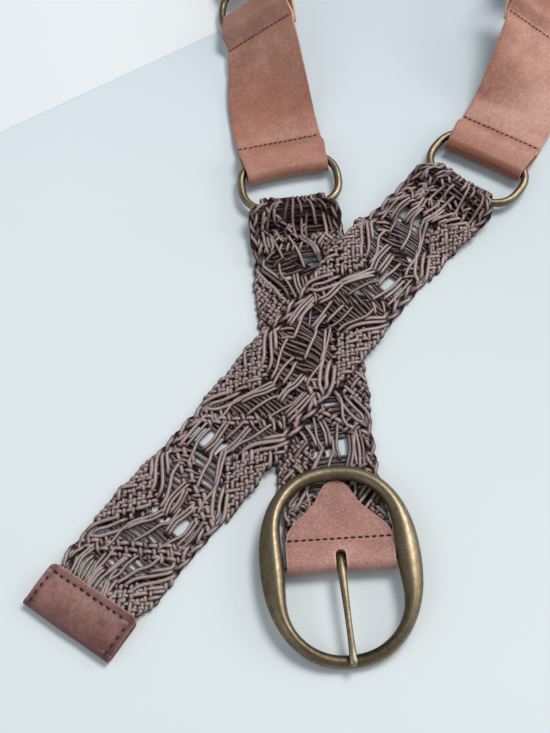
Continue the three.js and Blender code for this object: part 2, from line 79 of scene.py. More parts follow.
BACK_STRAIGHT, BACK_HANDLE = 14.0, 92.0
BOW = [(0, 0), (90, 0.8), (160, 1.8), (236, 4.2), (294, 0)]
SNUG, LSNUG = 3.95, 3.45
FLAT = BRAID_THICK / 2 + 0.05
RAD = math.pi / 180
rng = np.random.default_rng(20240611)


# ------------------------------------------------------------------ helpers
def clamp(v, a=0.0, b=1.0):
    return np.minimum(b, np.maximum(a, v))


def smooth(v):
    k = clamp(np.asarray(v, float))
    return k * k * (3 - 2 * k)


def mix(a, b, k):
    return a + (b - a) * k


def table(rows, x):
    ats, vals = np.array([r[0] for r in rows], float), np.array([r[1] for r in rows], float)
    x = np.asarray(x, float)
    i = np.clip(np.searchsorted(ats, x), 1, len(ats) - 1)
    return mix(vals[i - 1], vals[i], smooth((x - ats[i - 1]) / (ats[i] - ats[i - 1])))


def make_frame(x, y, heading, lean=0.0):
    c, s = math.cos(heading * RAD), math.sin(heading * RAD)
    cb, sb = math.cos(lean * RAD), math.sin(lean * RAD)
    return dict(o=np.array([x, y, BRAID_STAND * abs(sb)]), t=np.array([c, s, 0.0]), w=np.array([s * cb, -c * cb, sb]), n=np.array([-s * sb, c * sb, cb]), heading=heading, lean=lean)


def at(f, u, t, h):
    u, t, h = np.broadcast_arrays(np.asarray(u, float), np.asarray(t, float), np.asarray(h, float))
    return f["o"] + u[..., None] * f["t"] + t[..., None] * f["w"] + h[..., None] * f["n"]


class Route:
    """A strap's line on the floor with its own turning frame, sampled finely."""

    def __init__(self, us, frames):
        self.u = np.asarray(us, float)
        self.o, self.t, self.w, self.n = (np.array([f[k] for f in frames]) for k in "otwn")
        self.length = self.u[-1]

    def place(self, u, t, h):
        u, t, h = np.broadcast_arrays(np.asarray(u, float), np.asarray(t, float), np.asarray(h, float))
        c = np.clip(u, 0, self.length)
        i = np.clip(np.searchsorted(self.u, c) - 1, 0, len(self.u) - 2)
        k = ((c - self.u[i]) / (self.u[i + 1] - self.u[i]))[..., None]
        o, tt, w, n = (mix(a[i], a[i + 1], k) for a in (self.o, self.t, self.w, self.n))
        w = w / np.linalg.norm(w, axis=-1, keepdims=True)
        n = n / np.linalg.norm(n, axis=-1, keepdims=True)
        return o + (u - c)[..., None] * tt + t[..., None] * w + h[..., None] * n


class Ribbon:
    """Maps (s along the middle of a strap, t to its right, h off its face) to the layout, round its folds too."""

    def __init__(self, u, h, scale, dish, place):
        self.u, self.h = np.asarray(u, float), np.asarray(h, float)
        keep = np.r_[True, np.hypot(np.diff(self.u), np.diff(self.h)) > 1e-6]
        self.u, self.h, self.scale, self.dish = self.u[keep], self.h[keep], np.asarray(scale, float)[keep], np.asarray(dish, float)[keep]
        self.s = np.r_[0, np.cumsum(np.hypot(np.diff(self.u), np.diff(self.h)))]
        du, dh = np.gradient(self.u, self.s), np.gradient(self.h, self.s)
        l = np.hypot(du, dh)
        self.du, self.dh, self.place, self.length = du / l, dh / l, place, self.s[-1]

    def __call__(self, s, t, h):
        s, t, h = np.broadcast_arrays(np.asarray(s, float), np.asarray(t, float), np.asarray(h, float))
        u, hh, du, dh = (np.interp(s, self.s, a) for a in (self.u, self.h, self.du, self.dh))
        l = np.hypot(du, dh) + 1e-9
        du, dh = du / l, dh / l
        t = t * np.interp(s, self.s, self.scale)
        d = np.interp(s, self.s, self.dish) * (t / 17) ** 2
        return self.place(u - dh * h + d, t, hh + du * h)

    def top_s(self, u):
        """Where along the ribbon its upper run passes u, for a ribbon whose upper run comes first and rises."""
        n = int(np.argmax(self.u))
        return float(np.interp(u, self.u[: n + 1], self.s[: n + 1]))


def to_metres(p):
    return (np.asarray(p, float) - SHIFT) / 1000.0


def mesh_object(name, verts_mm, faces, body, smooth_shade=True, attributes=None, uv=None, materials=(), face_mats=None):
    me = bpy.data.meshes.new(name)
    v = to_metres(verts_mm).astype(np.float32)
    faces = np.asarray(faces, np.int32) if isinstance(faces, np.ndarray) else faces
    if isinstance(faces, np.ndarray):
        nf, k = faces.shape
        me.vertices.add(len(v))
        me.vertices.foreach_set("co", v.ravel())
        me.loops.add(nf * k)
        me.loops.foreach_set("vertex_index", faces.ravel())
        me.polygons.add(nf)
        me.polygons.foreach_set("loop_start", np.arange(0, nf * k, k, dtype=np.int32))
        me.update(calc_edges=True)
        me.validate(clean_customdata=False)
    else:
        me.from_pydata(v.tolist(), [], faces)
        me.update()
    if smooth_shade:
        me.polygons.foreach_set("use_smooth", np.ones(len(me.polygons), bool))
    for key, values in (attributes or {}).items():
        me.attributes.new(key, "FLOAT", "POINT").data.foreach_set("value", np.asarray(values, np.float32))
    if uv is not None:
        me.uv_layers.new(name="UVMap").data.foreach_set("uv", np.asarray(uv, np.float32).ravel())
    ob = bpy.data.objects.new(name, me)
    bpy.context.scene.collection.objects.link(ob)
    for m in materials:
        me.materials.append(m)
    if face_mats is not None:
        me.polygons.foreach_set("material_index", np.asarray(face_mats, np.int32))
    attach(ob, body)
    return ob


# ------------------------------------------------------------------ node helpers
def new_material(name):
    m = bpy.data.materials.new(name)
    m.use_nodes = True
    nt = m.node_tree
    bsdf = nt.nodes["Principled BSDF"]
    return m, nt, bsdf


def node(nt, kind, inputs=None, **props):
    n = nt.nodes.new(kind)
    for k, v in props.items():
        setattr(n, k, v)
    for k, v in (inputs or {}).items():
        if isinstance(v, bpy.types.NodeSocket):
            nt.links.new(v, n.inputs[k])
        else:
            n.inputs[k].default_value = v
    return n


def srgb(r, g, b):
    f = lambda c: ((c / 255 + 0.055) / 1.055) ** 2.4 if c / 255 > 0.04045 else c / 255 / 12.92
    return (f(r), f(g), f(b), 1.0)


def ramp(nt, fac, stops):
    n = nt.nodes.new("ShaderNodeValToRGB")
    n.color_ramp.elements[0].position, n.color_ramp.elements[0].color = stops[0]
    n.color_ramp.elements[1].position, n.color_ramp.elements[1].color = stops[-1]
    for p, c in stops[1:-1]:
        e = n.color_ramp.elements.new(p)
        e.color = c
    nt.links.new(fac, n.inputs["Fac"])
    return n.outputs["Color"]


def mixc(nt, fac, a, b, blend="MIX"):
    n = nt.nodes.new("ShaderNodeMix")
    n.data_type, n.blend_type = "RGBA", blend
    for k, v in ((0, fac), (6, a), (7, b)):
        if isinstance(v, bpy.types.NodeSocket):
            nt.links.new(v, n.inputs[k])
        else:
            n.inputs[k].default_value = v
    return n.outputs[2]


def noise(nt, vec, scale, detail=2.0, rough=0.5, dist=0.0):
    return node(nt, "ShaderNodeTexNoise", {"Vector": vec, "Scale": scale, "Detail": detail, "Roughness": rough, "Distortion": dist}).outputs["Fac"]


def math_node(nt, op, a, b=0.0, clampit=False):
    n = nt.nodes.new("ShaderNodeMath")
    n.operation, n.use_clamp = op, clampit
    for i, v in enumerate((a, b)):
        if isinstance(v, bpy.types.NodeSocket):
            nt.links.new(v, n.inputs[i])
        else:
            n.inputs[i].default_value = v
    return n.outputs[0]


def remap(nt, v, a, b, c=0.0, d=1.0):
    n = node(nt, "ShaderNodeMapRange", {"Value": v, "From Min": a, "From Max": b, "To Min": c, "To Max": d})
    return n.outputs[0]


def attribute(nt, name):
    n = nt.nodes.new("ShaderNodeAttribute")
    n.attribute_name = name
    return n.outputs["Fac"]


def bump(nt, height, strength, distance, normal=None):
    ins = {"Height": height, "Strength": strength, "Distance": distance}
    if normal is not None:
        ins["Normal"] = normal
    return node(nt, "ShaderNodeBump", ins).outputs["Normal"]


def coords(nt):
    return nt.nodes.new("ShaderNodeTexCoord").outputs["Object"]


# ------------------------------------------------------------------ materials
def cord_material(name, dark, mid, light):
    m, nt, b = new_material(name)
    co = coords(nt)
    uvn = nt.nodes.new("ShaderNodeUVMap")
    uvn.uv_map = "UVMap"
    tone, hue, crown = attribute(nt, "tone"), attribute(nt, "hue"), attribute(nt, "crown")
    blotch = noise(nt, co, 55.0, 3.0, 0.6)
    fine = noise(nt, co, 900.0, 2.0, 0.6)
    stretch = node(nt, "ShaderNodeMapping", {"Vector": uvn.outputs["UV"], "Scale": (0.22, 5.0, 1.0)}).outputs["Vector"]
    streak = noise(nt, stretch, 2.2, 2.0, 0.6)
    level = math_node(nt, "ADD", math_node(nt, "MULTIPLY", tone, 0.66), math_node(nt, "MULTIPLY", blotch, 0.34))
    level = math_node(nt, "ADD", level, math_node(nt, "MULTIPLY", math_node(nt, "SUBTRACT", streak, 0.5), 0.62), True)
    col = ramp(nt, level, [(0.14, dark), (0.5, mid), (0.90, light)])
    # some cords are a little more olive, some more rosy
    col = mixc(nt, remap(nt, hue, 0.5, 1.0, 0.0, 0.45), col, srgb(129, 101, 99))
    col = mixc(nt, remap(nt, hue, 0.5, 0.0, 0.0, 0.45), col, srgb(112, 98, 86))
    # painted highlight on top of each cord, brightest where the streaks run
    col = mixc(nt, remap(nt, crown, 0.84, 1.0, 0.0, 0.50), col, srgb(181, 162, 159))
    col = mixc(nt, math_node(nt, "MULTIPLY", remap(nt, crown, 0.905, 0.965, 0.0, 0.30), remap(nt, streak, 0.36, 0.62, 0.15, 1.0)), col, srgb(214, 202, 199))
    col = mixc(nt, remap(nt, fine, 0.35, 0.75, 0.0, 0.18), col, dark)
    col = mixc(nt, remap(nt, fine, 0.58, 0.78, 0.0, 0.30), col, srgb(186, 170, 165))
    # painted shade down the sides of each cord, where the next one touches
    col = mixc(nt, remap(nt, crown, 0.892, 0.56, 0.0, 0.98), col, srgb(31, 10, 9))
    nt.links.new(col, b.inputs["Base Color"])
    # polished by handling on top, raw and dull down the sides
    dull = remap(nt, crown, 0.94, 0.72, 0.0, 0.92)
    nt.links.new(math_node(nt, "MAXIMUM", remap(nt, streak, 0.3, 0.7, 0.28, 0.46), dull), b.inputs["Roughness"])
    b.inputs["Specular IOR Level"].default_value = 0.34
    b.inputs["Sheen Weight"].default_value = 0.06
    b.inputs["Sheen Roughness"].default_value = 0.4
    b.inputs["Sheen Tint"].default_value = srgb(184, 164, 156)
    n1 = bump(nt, streak, 0.35, 0.00025)
    n2 = bump(nt, fine, 0.30, 0.00012, n1)
    nt.links.new(n2, b.inputs["Normal"])
    return m


def leather_material(name, dark, mid, light, deep, rough=(0.42, 0.6), grain=1.0, suede=0.0, edge_dark=0.35, mottle=1.0, creased=1.0):
    m, nt, b = new_material(name)
    co = coords(nt)
    big = noise(nt, co, 16.0, 3.0, 0.55, 0.3)
    mid_n = noise(nt, co, 75.0, 4.0, 0.6, 0.2)
    fine = noise(nt, co, 1500.0, 3.0, 0.65)
    level = math_node(nt, "ADD", math_node(nt, "MULTIPLY", big, 0.6 * mottle), math_node(nt, "MULTIPLY", mid_n, 0.4 * mottle))
    level = math_node(nt, "ADD", level, 0.5 * (1 - mottle))
    col = ramp(nt, level, [(0.37, dark), (0.5, mid), (0.64, light)])
    grit = noise(nt, co, 620.0, 4.0, 0.72)
    col = mixc(nt, remap(nt, grit, 0.36, 0.66, 0.0, 0.34 * grain), col, dark)
    col = mixc(nt, remap(nt, grit, 0.56, 0.34, 0.0, 0.22 * grain), col, light)
    # pebbled grain, a millimetre or two across
    pebble = noise(nt, co, 430.0, 2.5, 0.6, 0.4)
    col = mixc(nt, remap(nt, pebble, 0.46, 0.64, 0.0, 0.30 * grain), col, dark)
    col = mixc(nt, remap(nt, pebble, 0.50, 0.36, 0.0, 0.20 * grain), col, light)
    wrinkle = noise(nt, co, 95.0, 3.0, 0.55, 1.6)
    fold = remap(nt, math_node(nt, "ABSOLUTE", math_node(nt, "SUBTRACT", wrinkle, 0.5)), 0.0, 0.05, 1.0, 0.0)
    # pores and creases
    vor = node(nt, "ShaderNodeTexVoronoi", {"Vector": co, "Scale": 1150.0, "Randomness": 1.0}, feature="DISTANCE_TO_EDGE").outputs["Distance"]
    crease = remap(nt, vor, 0.0, 0.16, 1.0, 0.0)
    warped = node(nt, "ShaderNodeMapping", {"Vector": co, "Scale": (1.0, 0.32, 1.0), "Rotation": (0.0, 0.0, 0.5)}).outputs["Vector"]
    scr = noise(nt, warped, 210.0, 2.0, 0.75, 1.4)
    scratches = remap(nt, math_node(nt, "ABSOLUTE", math_node(nt, "SUBTRACT", scr, 0.5)), 0.0, 0.02, 1.0, 0.0)
    col = mixc(nt, math_node(nt, "MULTIPLY", scratches, 0.10), col, light)
    col = mixc(nt, math_node(nt, "MULTIPLY", crease, 0.16 * grain), col, dark)
    col = mixc(nt, math_node(nt, "MULTIPLY", fold, 0.16 * creased), col, dark)
    if suede:
        speck = noise(nt, co, 1150.0, 3.0, 0.75)
        col = mixc(nt, remap(nt, speck, 0.50, 0.66, 0.0, 0.68 * suede), col, dark)
        speck2 = noise(nt, co, 900.0, 3.0, 0.75)
        col = mixc(nt, remap(nt, speck2, 0.52, 0.68, 0.0, 0.44 * suede), col, light)
    edge = attribute(nt, "edge")
    col = mixc(nt, remap(nt, edge, 0.90, 1.0, 0.0, edge_dark), col, dark)
    col = mixc(nt, remap(nt, attribute(nt, "rim"), 0.0, 1.0, 0.0, 0.75), col, srgb(224, 186, 172))
    # darkened at folds and along the stitching: partly rubbed leather, partly painted shade on the rolled folds and in
    # the stitch grooves; on the panels also bands of painted shade and painted highlight
    col = mixc(nt, remap(nt, attribute(nt, "burnish_and_shade"), 0.0, 1.5, 0.0, 0.99), col, deep)
    nt.links.new(col, b.inputs["Base Color"])
    nt.links.new(remap(nt, math_node(nt, "ADD", mid_n, math_node(nt, "MULTIPLY", scratches, 0.1)), 0.3, 0.75, rough[0], rough[1]), b.inputs["Roughness"])
    b.inputs["Specular IOR Level"].default_value = 0.45 - 0.25 * suede
    b.inputs["Sheen Weight"].default_value = 0.05 + 0.25 * suede
    b.inputs["Sheen Roughness"].default_value = 0.5
    n0 = bump(nt, mid_n, 0.25, 0.0012)
    n1 = bump(nt, fold, 0.30 * creased, -0.00035, n0)
    n1 = bump(nt, pebble, 0.35 * grain, 0.00035, n1)
    n1 = bump(nt, grit, 0.35 * grain, 0.00022, n1)
    n2 = bump(nt, crease, 0.30 * grain, -0.00012, n1)
    n3 = bump(nt, fine, 0.30 + 0.4 * suede, 0.00010 + 0.00006 * suede, n2)
    nt.links.new(n3, b.inputs["Normal"])
    return m


def raw_edge_material(name, dark, mid, light):
    m, nt, b = new_material(name)
    co = coords(nt)
    f = noise(nt, co, 900.0, 4.0, 0.7)
    g = noise(nt, co, 120.0, 2.0, 0.5)
    level = math_node(nt, "ADD", math_node(nt, "MULTIPLY", f, 0.55), math_node(nt, "MULTIPLY", g, 0.45))
    nt.links.new(ramp(nt, level, [(0.32, dark), (0.5, mid), (0.66, light)]), b.inputs["Base Color"])
    b.inputs["Roughness"].default_value = 0.85
    b.inputs["Specular IOR Level"].default_value = 0.2
    nt.links.new(bump(nt, f, 0.6, 0.0003), b.inputs["Normal"])
    return m


def thread_material(name, dark, light, fuzz):
    m, nt, b = new_material(name)
    uvn = nt.nodes.new("ShaderNodeUVMap")
    uvn.uv_map = "UVMap"
    lay = node(nt, "ShaderNodeMapping", {"Vector": uvn.outputs["UV"], "Scale": (1.0, 1.0, 1.0), "Rotation": (0, 0, 0.6)}).outputs["Vector"]
    ply = node(nt, "ShaderNodeTexWave", {"Vector": lay, "Scale": 3.0, "Distortion": 0.4, "Detail": 1.0}).outputs["Fac"]
    f = noise(nt, coords(nt), 1400.0, 2.0, 0.6)
    col = mixc(nt, ply, dark, light)
    col = mixc(nt, remap(nt, f, 0.4, 0.8, 0.0, 0.35), col, fuzz)
    nt.links.new(col, b.inputs["Base Color"])
    b.inputs["Roughness"].default_value = 0.55
    nt.links.new(bump(nt, ply, 0.8, 0.0002), b.inputs["Normal"])
    return m


def brass_material():
    m, nt, b = new_material("antique_brass")
    co = coords(nt)
    cloud = noise(nt, co, 60.0, 4.0, 0.6, 0.4)
    spots = noise(nt, co, 420.0, 5.0, 0.75)
    fine = noise(nt, co, 1300.0, 2.0, 0.6)
    wear_and_painted_light = attribute(nt, "wear_and_painted_light")
    w = math_node(nt, "ADD", math_node(nt, "MULTIPLY", wear_and_painted_light, 0.62), math_node(nt, "MULTIPLY", cloud, 0.40))
    w = math_node(nt, "ADD", w, math_node(nt, "MULTIPLY", math_node(nt, "SUBTRACT", spots, 0.5), 0.62), True)
    col = ramp(nt, w, [(0.12, srgb(60, 51, 42)), (0.38, srgb(104, 92, 72)), (0.62, srgb(134, 121, 99)), (0.95, srgb(190, 184, 169))])
    pits = remap(nt, spots, 0.60, 0.72, 0.0, 0.35)
    col = mixc(nt, pits, col, srgb(120, 92, 66))
    speck = remap(nt, fine, 0.60, 0.72, 0.0, 0.42)
    col = mixc(nt, speck, col, srgb(50, 42, 34))
    nt.links.new(col, b.inputs["Base Color"])
    b.inputs["Metallic"].default_value = 1.0
    nt.links.new(remap(nt, w, 0.2, 0.9, 0.52, 0.32), b.inputs["Roughness"])
    n1 = bump(nt, cloud, 0.10, 0.0010)
    n2 = bump(nt, spots, 0.12, 0.00030, n1)
    n3 = bump(nt, fine, 0.10, 0.00008, n2)
    nt.links.new(n3, b.inputs["Normal"])
    return m


def floor_material():
    m, nt, b = new_material("pale_floor")
    co = coords(nt)
    f = noise(nt, co, 2.0, 2.0, 0.5)
    g = noise(nt, co, 320.0, 3.0, 0.6)
    xyz = node(nt, "ShaderNodeSeparateXYZ", {"Vector": co})
    x, y = xyz.outputs["X"], xyz.outputs["Y"]
    # painted shade: the table top darker to the right and to the back, where the light falls off
    gx, gy = remap(nt, x, -0.15, 0.10), remap(nt, y, -0.25, 0.10)
    falloff_shade = math_node(nt, "ADD", math_node(nt, "MULTIPLY", gx, 0.13), math_node(nt, "MULTIPLY", gx, gy), True)
    col = mixc(nt, f, (0.715, 0.785, 0.805, 1), (0.74, 0.80, 0.825, 1))
    col = mixc(nt, falloff_shade, col, (0.57, 0.64, 0.665, 1))
    # painted shade, bluish, at the very back
    col = mixc(nt, remap(nt, gy, 0.62, 1.0, 0.0, 0.5), col, (0.60, 0.69, 0.775, 1))
    # past a straight line at the back left it is whiter
    side = math_node(nt, "ADD", math_node(nt, "MULTIPLY", x, -0.4705), math_node(nt, "MULTIPLY", y, 0.8825))
    col = mixc(nt, remap(nt, side, 0.1503, 0.1511), col, (0.79, 0.83, 0.85, 1))
    # along that line a thin darker band, painted shade in the corner
    corner_shade = remap(nt, math_node(nt, "ABSOLUTE", math_node(nt, "SUBTRACT", side, 0.1507)), 0.0, 0.0009, 0.5, 0.0)
    col = mixc(nt, corner_shade, col, (0.50, 0.55, 0.57, 1))
    nt.links.new(col, b.inputs["Base Color"])
    b.inputs["Roughness"].default_value = 0.55
    b.inputs["Specular IOR Level"].default_value = 0.25
    nt.links.new(bump(nt, g, 0.02, 0.0002), b.inputs["Normal"])
    return m


CORD = cord_material("braided_cord", srgb(52, 35, 34), srgb(116, 92, 89), srgb(160, 140, 136))
PANEL = leather_material("tan_leather", srgb(144, 96, 80), srgb(179, 128, 110), srgb(212, 165, 148), srgb(134, 77, 54), rough=(0.32, 0.46), grain=0.8, creased=0.3, mottle=0.8)
TIP = leather_material("tip_leather", srgb(94, 57, 55), srgb(136, 93, 87), srgb(166, 122, 112), srgb(78, 44, 44), rough=(0.30, 0.46), grain=0.8, creased=0.6)
TAB = leather_material("tab_leather", srgb(118, 78, 71), srgb(172, 126, 115), srgb(208, 166, 154), srgb(140, 95, 85), rough=(0.62, 0.8), grain=0.3, suede=1.0, creased=0.2, mottle=0.55)
RAW_TIP = raw_edge_material("tip_leather_edge", srgb(96, 62, 58), srgb(150, 108, 100), srgb(196, 158, 148))
RAW = raw_edge_material("raw_leather_edge", srgb(150, 104, 86), srgb(196, 152, 132), srgb(226, 190, 170))
RAW_TAB = raw_edge_material("tab_leather_edge", srgb(120, 80, 70), srgb(172, 128, 114), srgb(214, 176, 160))
THREAD = thread_material("waxed_thread", srgb(26, 14, 14), srgb(54, 32, 30), srgb(78, 50, 46))
THREAD_BROWN = thread_material("waxed_thread_brown", srgb(62, 36, 32), srgb(104, 68, 58), srgb(128, 90, 78))
BRASS = brass_material()

# ------------------------------------------------------------------ the straps' lines
LONG_F = make_frame(LONG["x"], LONG["y"], LONG["heading"])
SHORT_F = make_frame(SHORT["x"], SHORT["y"], SHORT["heading"])


def cross_lift(p):
    d = np.abs((p[..., 0] - SHORT_F["o"][0]) * SHORT_F["w"][0] + (p[..., 1] - SHORT_F["o"][1]) * SHORT_F["w"][1])
    u = (p[..., 0] - SHORT_F["o"][0]) * SHORT_F["t"][0] + (p[..., 1] - SHORT_F["o"][1]) * SHORT_F["t"][1]
    return (CROSS_LIFT + CROSS_DOUBLED * smooth((u - SHORT["length"] + 50) / 16)) * (1 - smooth((d - CROSS_FLAT) / CROSS_RAMP))


def place_long(u, t, h):
    u, t, h = np.broadcast_arrays(np.asarray(u, float), np.asarray(t, float), np.asarray(h, float))
    p = at(LONG_F, u, t - table(BOW, u), h)
    k = smooth((14 - u) / 14) * (CAP_HEADING - LONG["heading"]) * RAD
    dx, dy = p[..., 0] - LONG["x"], p[..., 1] - LONG["y"]
    c, s = np.cos(k), np.sin(k)
    p = np.stack([LONG["x"] + c * dx - s * dy, LONG["y"] + s * dx + c * dy, p[..., 2]], -1)
    p[..., 2] += cross_lift(p)
    return p


def place_short(u, t, h):
    return at(SHORT_F, u, t, h)


def panel_route(lie, ring):
    def heading_at(u):
        return float(mix(lie["h0"], lie["h1"], smooth((u - 22) / (lie["length"] - 44))))

    start = at(make_frame(ring["x"], ring["y"], ring["heading"]), LEATHER_FOLD, 0, 0)[:2]
    n, pts = 60, [start]
    for i in range(1, n + 1):
        hd = heading_at((i - 0.5) / n * lie["length"]) * RAD
        pts.append(pts[-1] + np.array([math.cos(hd), math.sin(hd)]) * lie["length"] / n)
    pts = np.array(pts)
    us = np.linspace(0, lie["length"], 241)
    frames = []
    for u in us:
        k = u / lie["length"] * n
        i = min(n - 1, int(k))
        p = mix(pts[i], pts[i + 1], k - i)
        frames.append(make_frame(p[0], p[1], heading_at(u), lie["lean"] * float(smooth((u - 20) / (lie["length"] - 40)))))
    return Route(us, frames), frames[-1]


ROUTE_LONG, END_LONG = panel_route(PANEL_LONG, RING_LONG)
ROUTE_SHORT, END_SHORT = panel_route(PANEL_SHORT, RING_SHORT)


def far_ring(f):
    o = at(f, LEATHER_FOLD, 0, 0)
    return make_frame(o[0], o[1], f["heading"], f["lean"])


RING_BACK_SHORT, RING_BACK_LONG = far_ring(END_SHORT), far_ring(END_LONG)


def back_route():
    a, b, e = RING_BACK_SHORT, RING_BACK_LONG, BACK_STRAIGHT
    c0 = np.array([math.cos(a["heading"] * RAD), math.sin(a["heading"] * RAD)])
    c1 = np.array([math.cos(b["heading"] * RAD), math.sin(b["heading"] * RAD)])
    start, end = a["o"][:2] + c0 * BRAID_FOLD, b["o"][:2] + c1 * BRAID_FOLD
    p0, p1 = start + c0 * e, end + c1 * e
    q = [p0, p0 + c0 * BACK_HANDLE, p1 + c1 * BACK_HANDLE, p1]
    k = np.linspace(0, 1, 2401)[:, None]
    pts = (1 - k) ** 3 * q[0] + 3 * (1 - k) ** 2 * k * q[1] + 3 * (1 - k) * k * k * q[2] + k**3 * q[3]
    seg = np.r_[0, np.cumsum(np.linalg.norm(np.diff(pts, axis=0), axis=1))]
    bend = seg[-1]
    length = bend + 2 * e
    us, frames = np.linspace(0, length, 901), []
    for u in us:
        kk = min(1.0, max(0.0, (u - e) / bend))
        lean = float(table(BACK_LEAN, kk))
        if u <= e:
            p, hd = start + c0 * u, a["heading"]
        elif u >= length - e:
            p, hd = end - c1 * (length - u), b["heading"] + 180
            p = end + c1 * (length - u)
        else:
            d = kk * bend
            p = np.array([np.interp(d, seg, pts[:, 0]), np.interp(d, seg, pts[:, 1])])
            q0 = np.array([np.interp(d - 0.2, seg, pts[:, 0]), np.interp(d - 0.2, seg, pts[:, 1])])
            q1 = np.array([np.interp(d + 0.2, seg, pts[:, 0]), np.interp(d + 0.2, seg, pts[:, 1])])
            hd = math.atan2(q1[1] - q0[1], q1[0] - q0[0]) / RAD
        frames.append(make_frame(p[0], p[1], hd, lean))
    return Route(us, frames)


ROUTE_BACK = back_route()


def fold_top(x):
    return np.where(x < 9.5, RING_H + 3.95, np.where(x < 19, mix(RING_H + 3.95, 4.95, smooth((x - 9.5) / 9.5)), np.where(x < 32, 4.95, mix(4.95, FLAT, smooth((x - 32) / 12)))))


def fold_half(x):
    return np.where(x < 1, 17.0, mix(17.0, 25.2, np.sin(clamp((x - 1) / 11) * math.pi / 2)))


def folded(end, way, step=0.5):
    """u, h, half, dish round the ring at a strap's end and back under it, outward first."""
    n = 26
    a = np.linspace(0, math.pi, n)
    uu = [end - way * SNUG + way * SNUG * np.sin(a)]
    hh = [RING_H + SNUG * np.cos(a)]
    half = [np.full(n, 17.6)]
    dish = [way * 1.1 * np.sin(a)]
    x = np.arange(SNUG + step, FOLD_BACK + 1e-6, step)
    uu.append(end - way * x)
    hh.append(np.full(len(x), RING_H - SNUG))
    half.append(np.minimum(fold_half(x), 24.4))
    dish.append(np.zeros(len(x)))
    return [np.concatenate(v) for v in (uu, hh, half, dish)]


def long_ribbon():
    L = LONG["length"]
    u = np.arange(-10, L - SNUG - 0.3, 0.5)
    cap_mid = CAP_WALL + CAP_GAP / 2 + 0.05
    h = np.where(u < 0, cap_mid, mix(cap_mid, FLAT, smooth(u / 16)))
    h = np.where(L - u < 44, np.maximum(FLAT, fold_top(L - u)), h)
    half = np.minimum(mix(22.6, BRAID_HALF, smooth(u / 10)), fold_half(np.abs(L - u)))
    fu, fh, fhalf, fd = folded(L, 1)
    return Ribbon(np.r_[u, fu], np.r_[h, fh], np.r_[half, fhalf] / BRAID_HALF, np.r_[np.zeros(len(u)), fd], place_long)


def tab_top(u):
    return mix(4.85, BRAID_THICK + 0.05, smooth((u - TAB_UNDER - 0.5) / 16))


def short_ribbon():
    L = SHORT["length"]
    u = np.arange(13.5, L - SNUG - 0.3, 0.5)
    thick = mix(2.5, BRAID_THICK, smooth((u - TAB_UNDER - 0.5) / 16))
    h = np.where(u < 60, tab_top(u) - thick / 2, np.where(L - u < 44, np.maximum(FLAT, fold_top(L - u)), FLAT))
    half = np.minimum(mix(24.4, BRAID_HALF, smooth((u - 13) / 13)), fold_half(np.abs(L - u)))
    fu, fh, fhalf, fd = folded(L, 1)
    return Ribbon(np.r_[u, fu], np.r_[h, fh], np.r_[half, fhalf] / BRAID_HALF, np.r_[np.zeros(len(u)), fd], place_short)


def back_ribbon():
    L = ROUTE_BACK.length
    au, ah, ahalf, ad = (v[::-1] for v in folded(0, -1))
    bu, bh, bhalf, bd = folded(L, 1)
    u = np.arange(SNUG + 0.3, L - SNUG - 0.3, 0.5)
    x = np.minimum(u, L - u)
    h = np.where(x < 44, np.maximum(FLAT, fold_top(x)), FLAT)
    half = np.minimum(BRAID_HALF, fold_half(x))
    return Ribbon(np.r_[au, u, bu], np.r_[ah, h, bh], np.r_[ahalf, half, bhalf] / BRAID_HALF, np.r_[ad, np.zeros(len(u)), bd], ROUTE_BACK.place)


# ------------------------------------------------------------------ cords
def resample(pts, step):
    """A smooth line through pts (n, 3), about step apart."""
    p = np.asarray(pts, float)
    if len(p) == 2:
        n = max(2, int(math.ceil(np.linalg.norm(p[1] - p[0]) / step)) + 1)
        return mix(p[0], p[1], np.linspace(0, 1, n)[:, None])
    q = np.vstack([2 * p[0] - p[1], p, 2 * p[-1] - p[-2]])
    out = []
    for i in range(1, len(q) - 2):
        n = max(2, int(math.ceil(np.linalg.norm(q[i + 1] - q[i]) / step)) + 1)
        k = np.linspace(0, 1, n)[: -1 if i < len(q) - 3 else None, None]
        a, b, c, d = q[i - 1], q[i], q[i + 1], q[i + 2]
        out.append(0.5 * (2 * b + (c - a) * k + (2 * a - 5 * b + 4 * c - d) * k**2 + (3 * b - a - 3 * c + d) * k**3))
    return np.vstack(out)


class Cords:
    """Collects cord paths in strap coordinates (s, t, h) and turns them into one mesh of round tubes."""

    def __init__(self):
        self.rows = []

    def add(self, path, width, thick, tone, swell=None, hue=0.5, two_faced=False):
        path = np.asarray(path, float)
        if len(path) < 3:
            return
        swell = np.ones(len(path)) if swell is None else np.asarray(swell, float)
        self.rows.append((path, width, thick, tone, swell, hue, two_faced))

    def trim(self, lo, hi):
        rows = []
        for path, *rest in self.rows:
            for a, b in runs((path[:, 0] >= lo) & (path[:, 0] <= hi), 3):
                rest2 = list(rest)
                rest2[3] = rest[3][a:b]
                rows.append((path[a:b], *rest2))
        self.rows = rows

    def build(self, name, ribbon, body, material, sides=8, share=(0.0, 1.0)):
        lo, hi = share[0] * ribbon.length - (share[0] == 0) * 99, share[1] * ribbon.length + (share[1] == 1) * 99
        rows = [r for r in self.rows if lo <= r[0][:, 0].mean() < hi]
        counts = np.array([len(r[0]) for r in rows])
        P = np.vstack([r[0] for r in rows])
        own = np.repeat(np.arange(len(counts)), counts)
        C = ribbon(P[:, 0], P[:, 1], P[:, 2])
        N = ribbon(P[:, 0], P[:, 1], P[:, 2] + 0.25) - C
        col = lambda i: np.array([r[i] for r in rows], float)
        return tubes(name, C, N, own, counts, col(1), col(2), col(3), body, material, sides, P[:, 2], np.concatenate([r[4] for r in rows]), col(5), col(6))


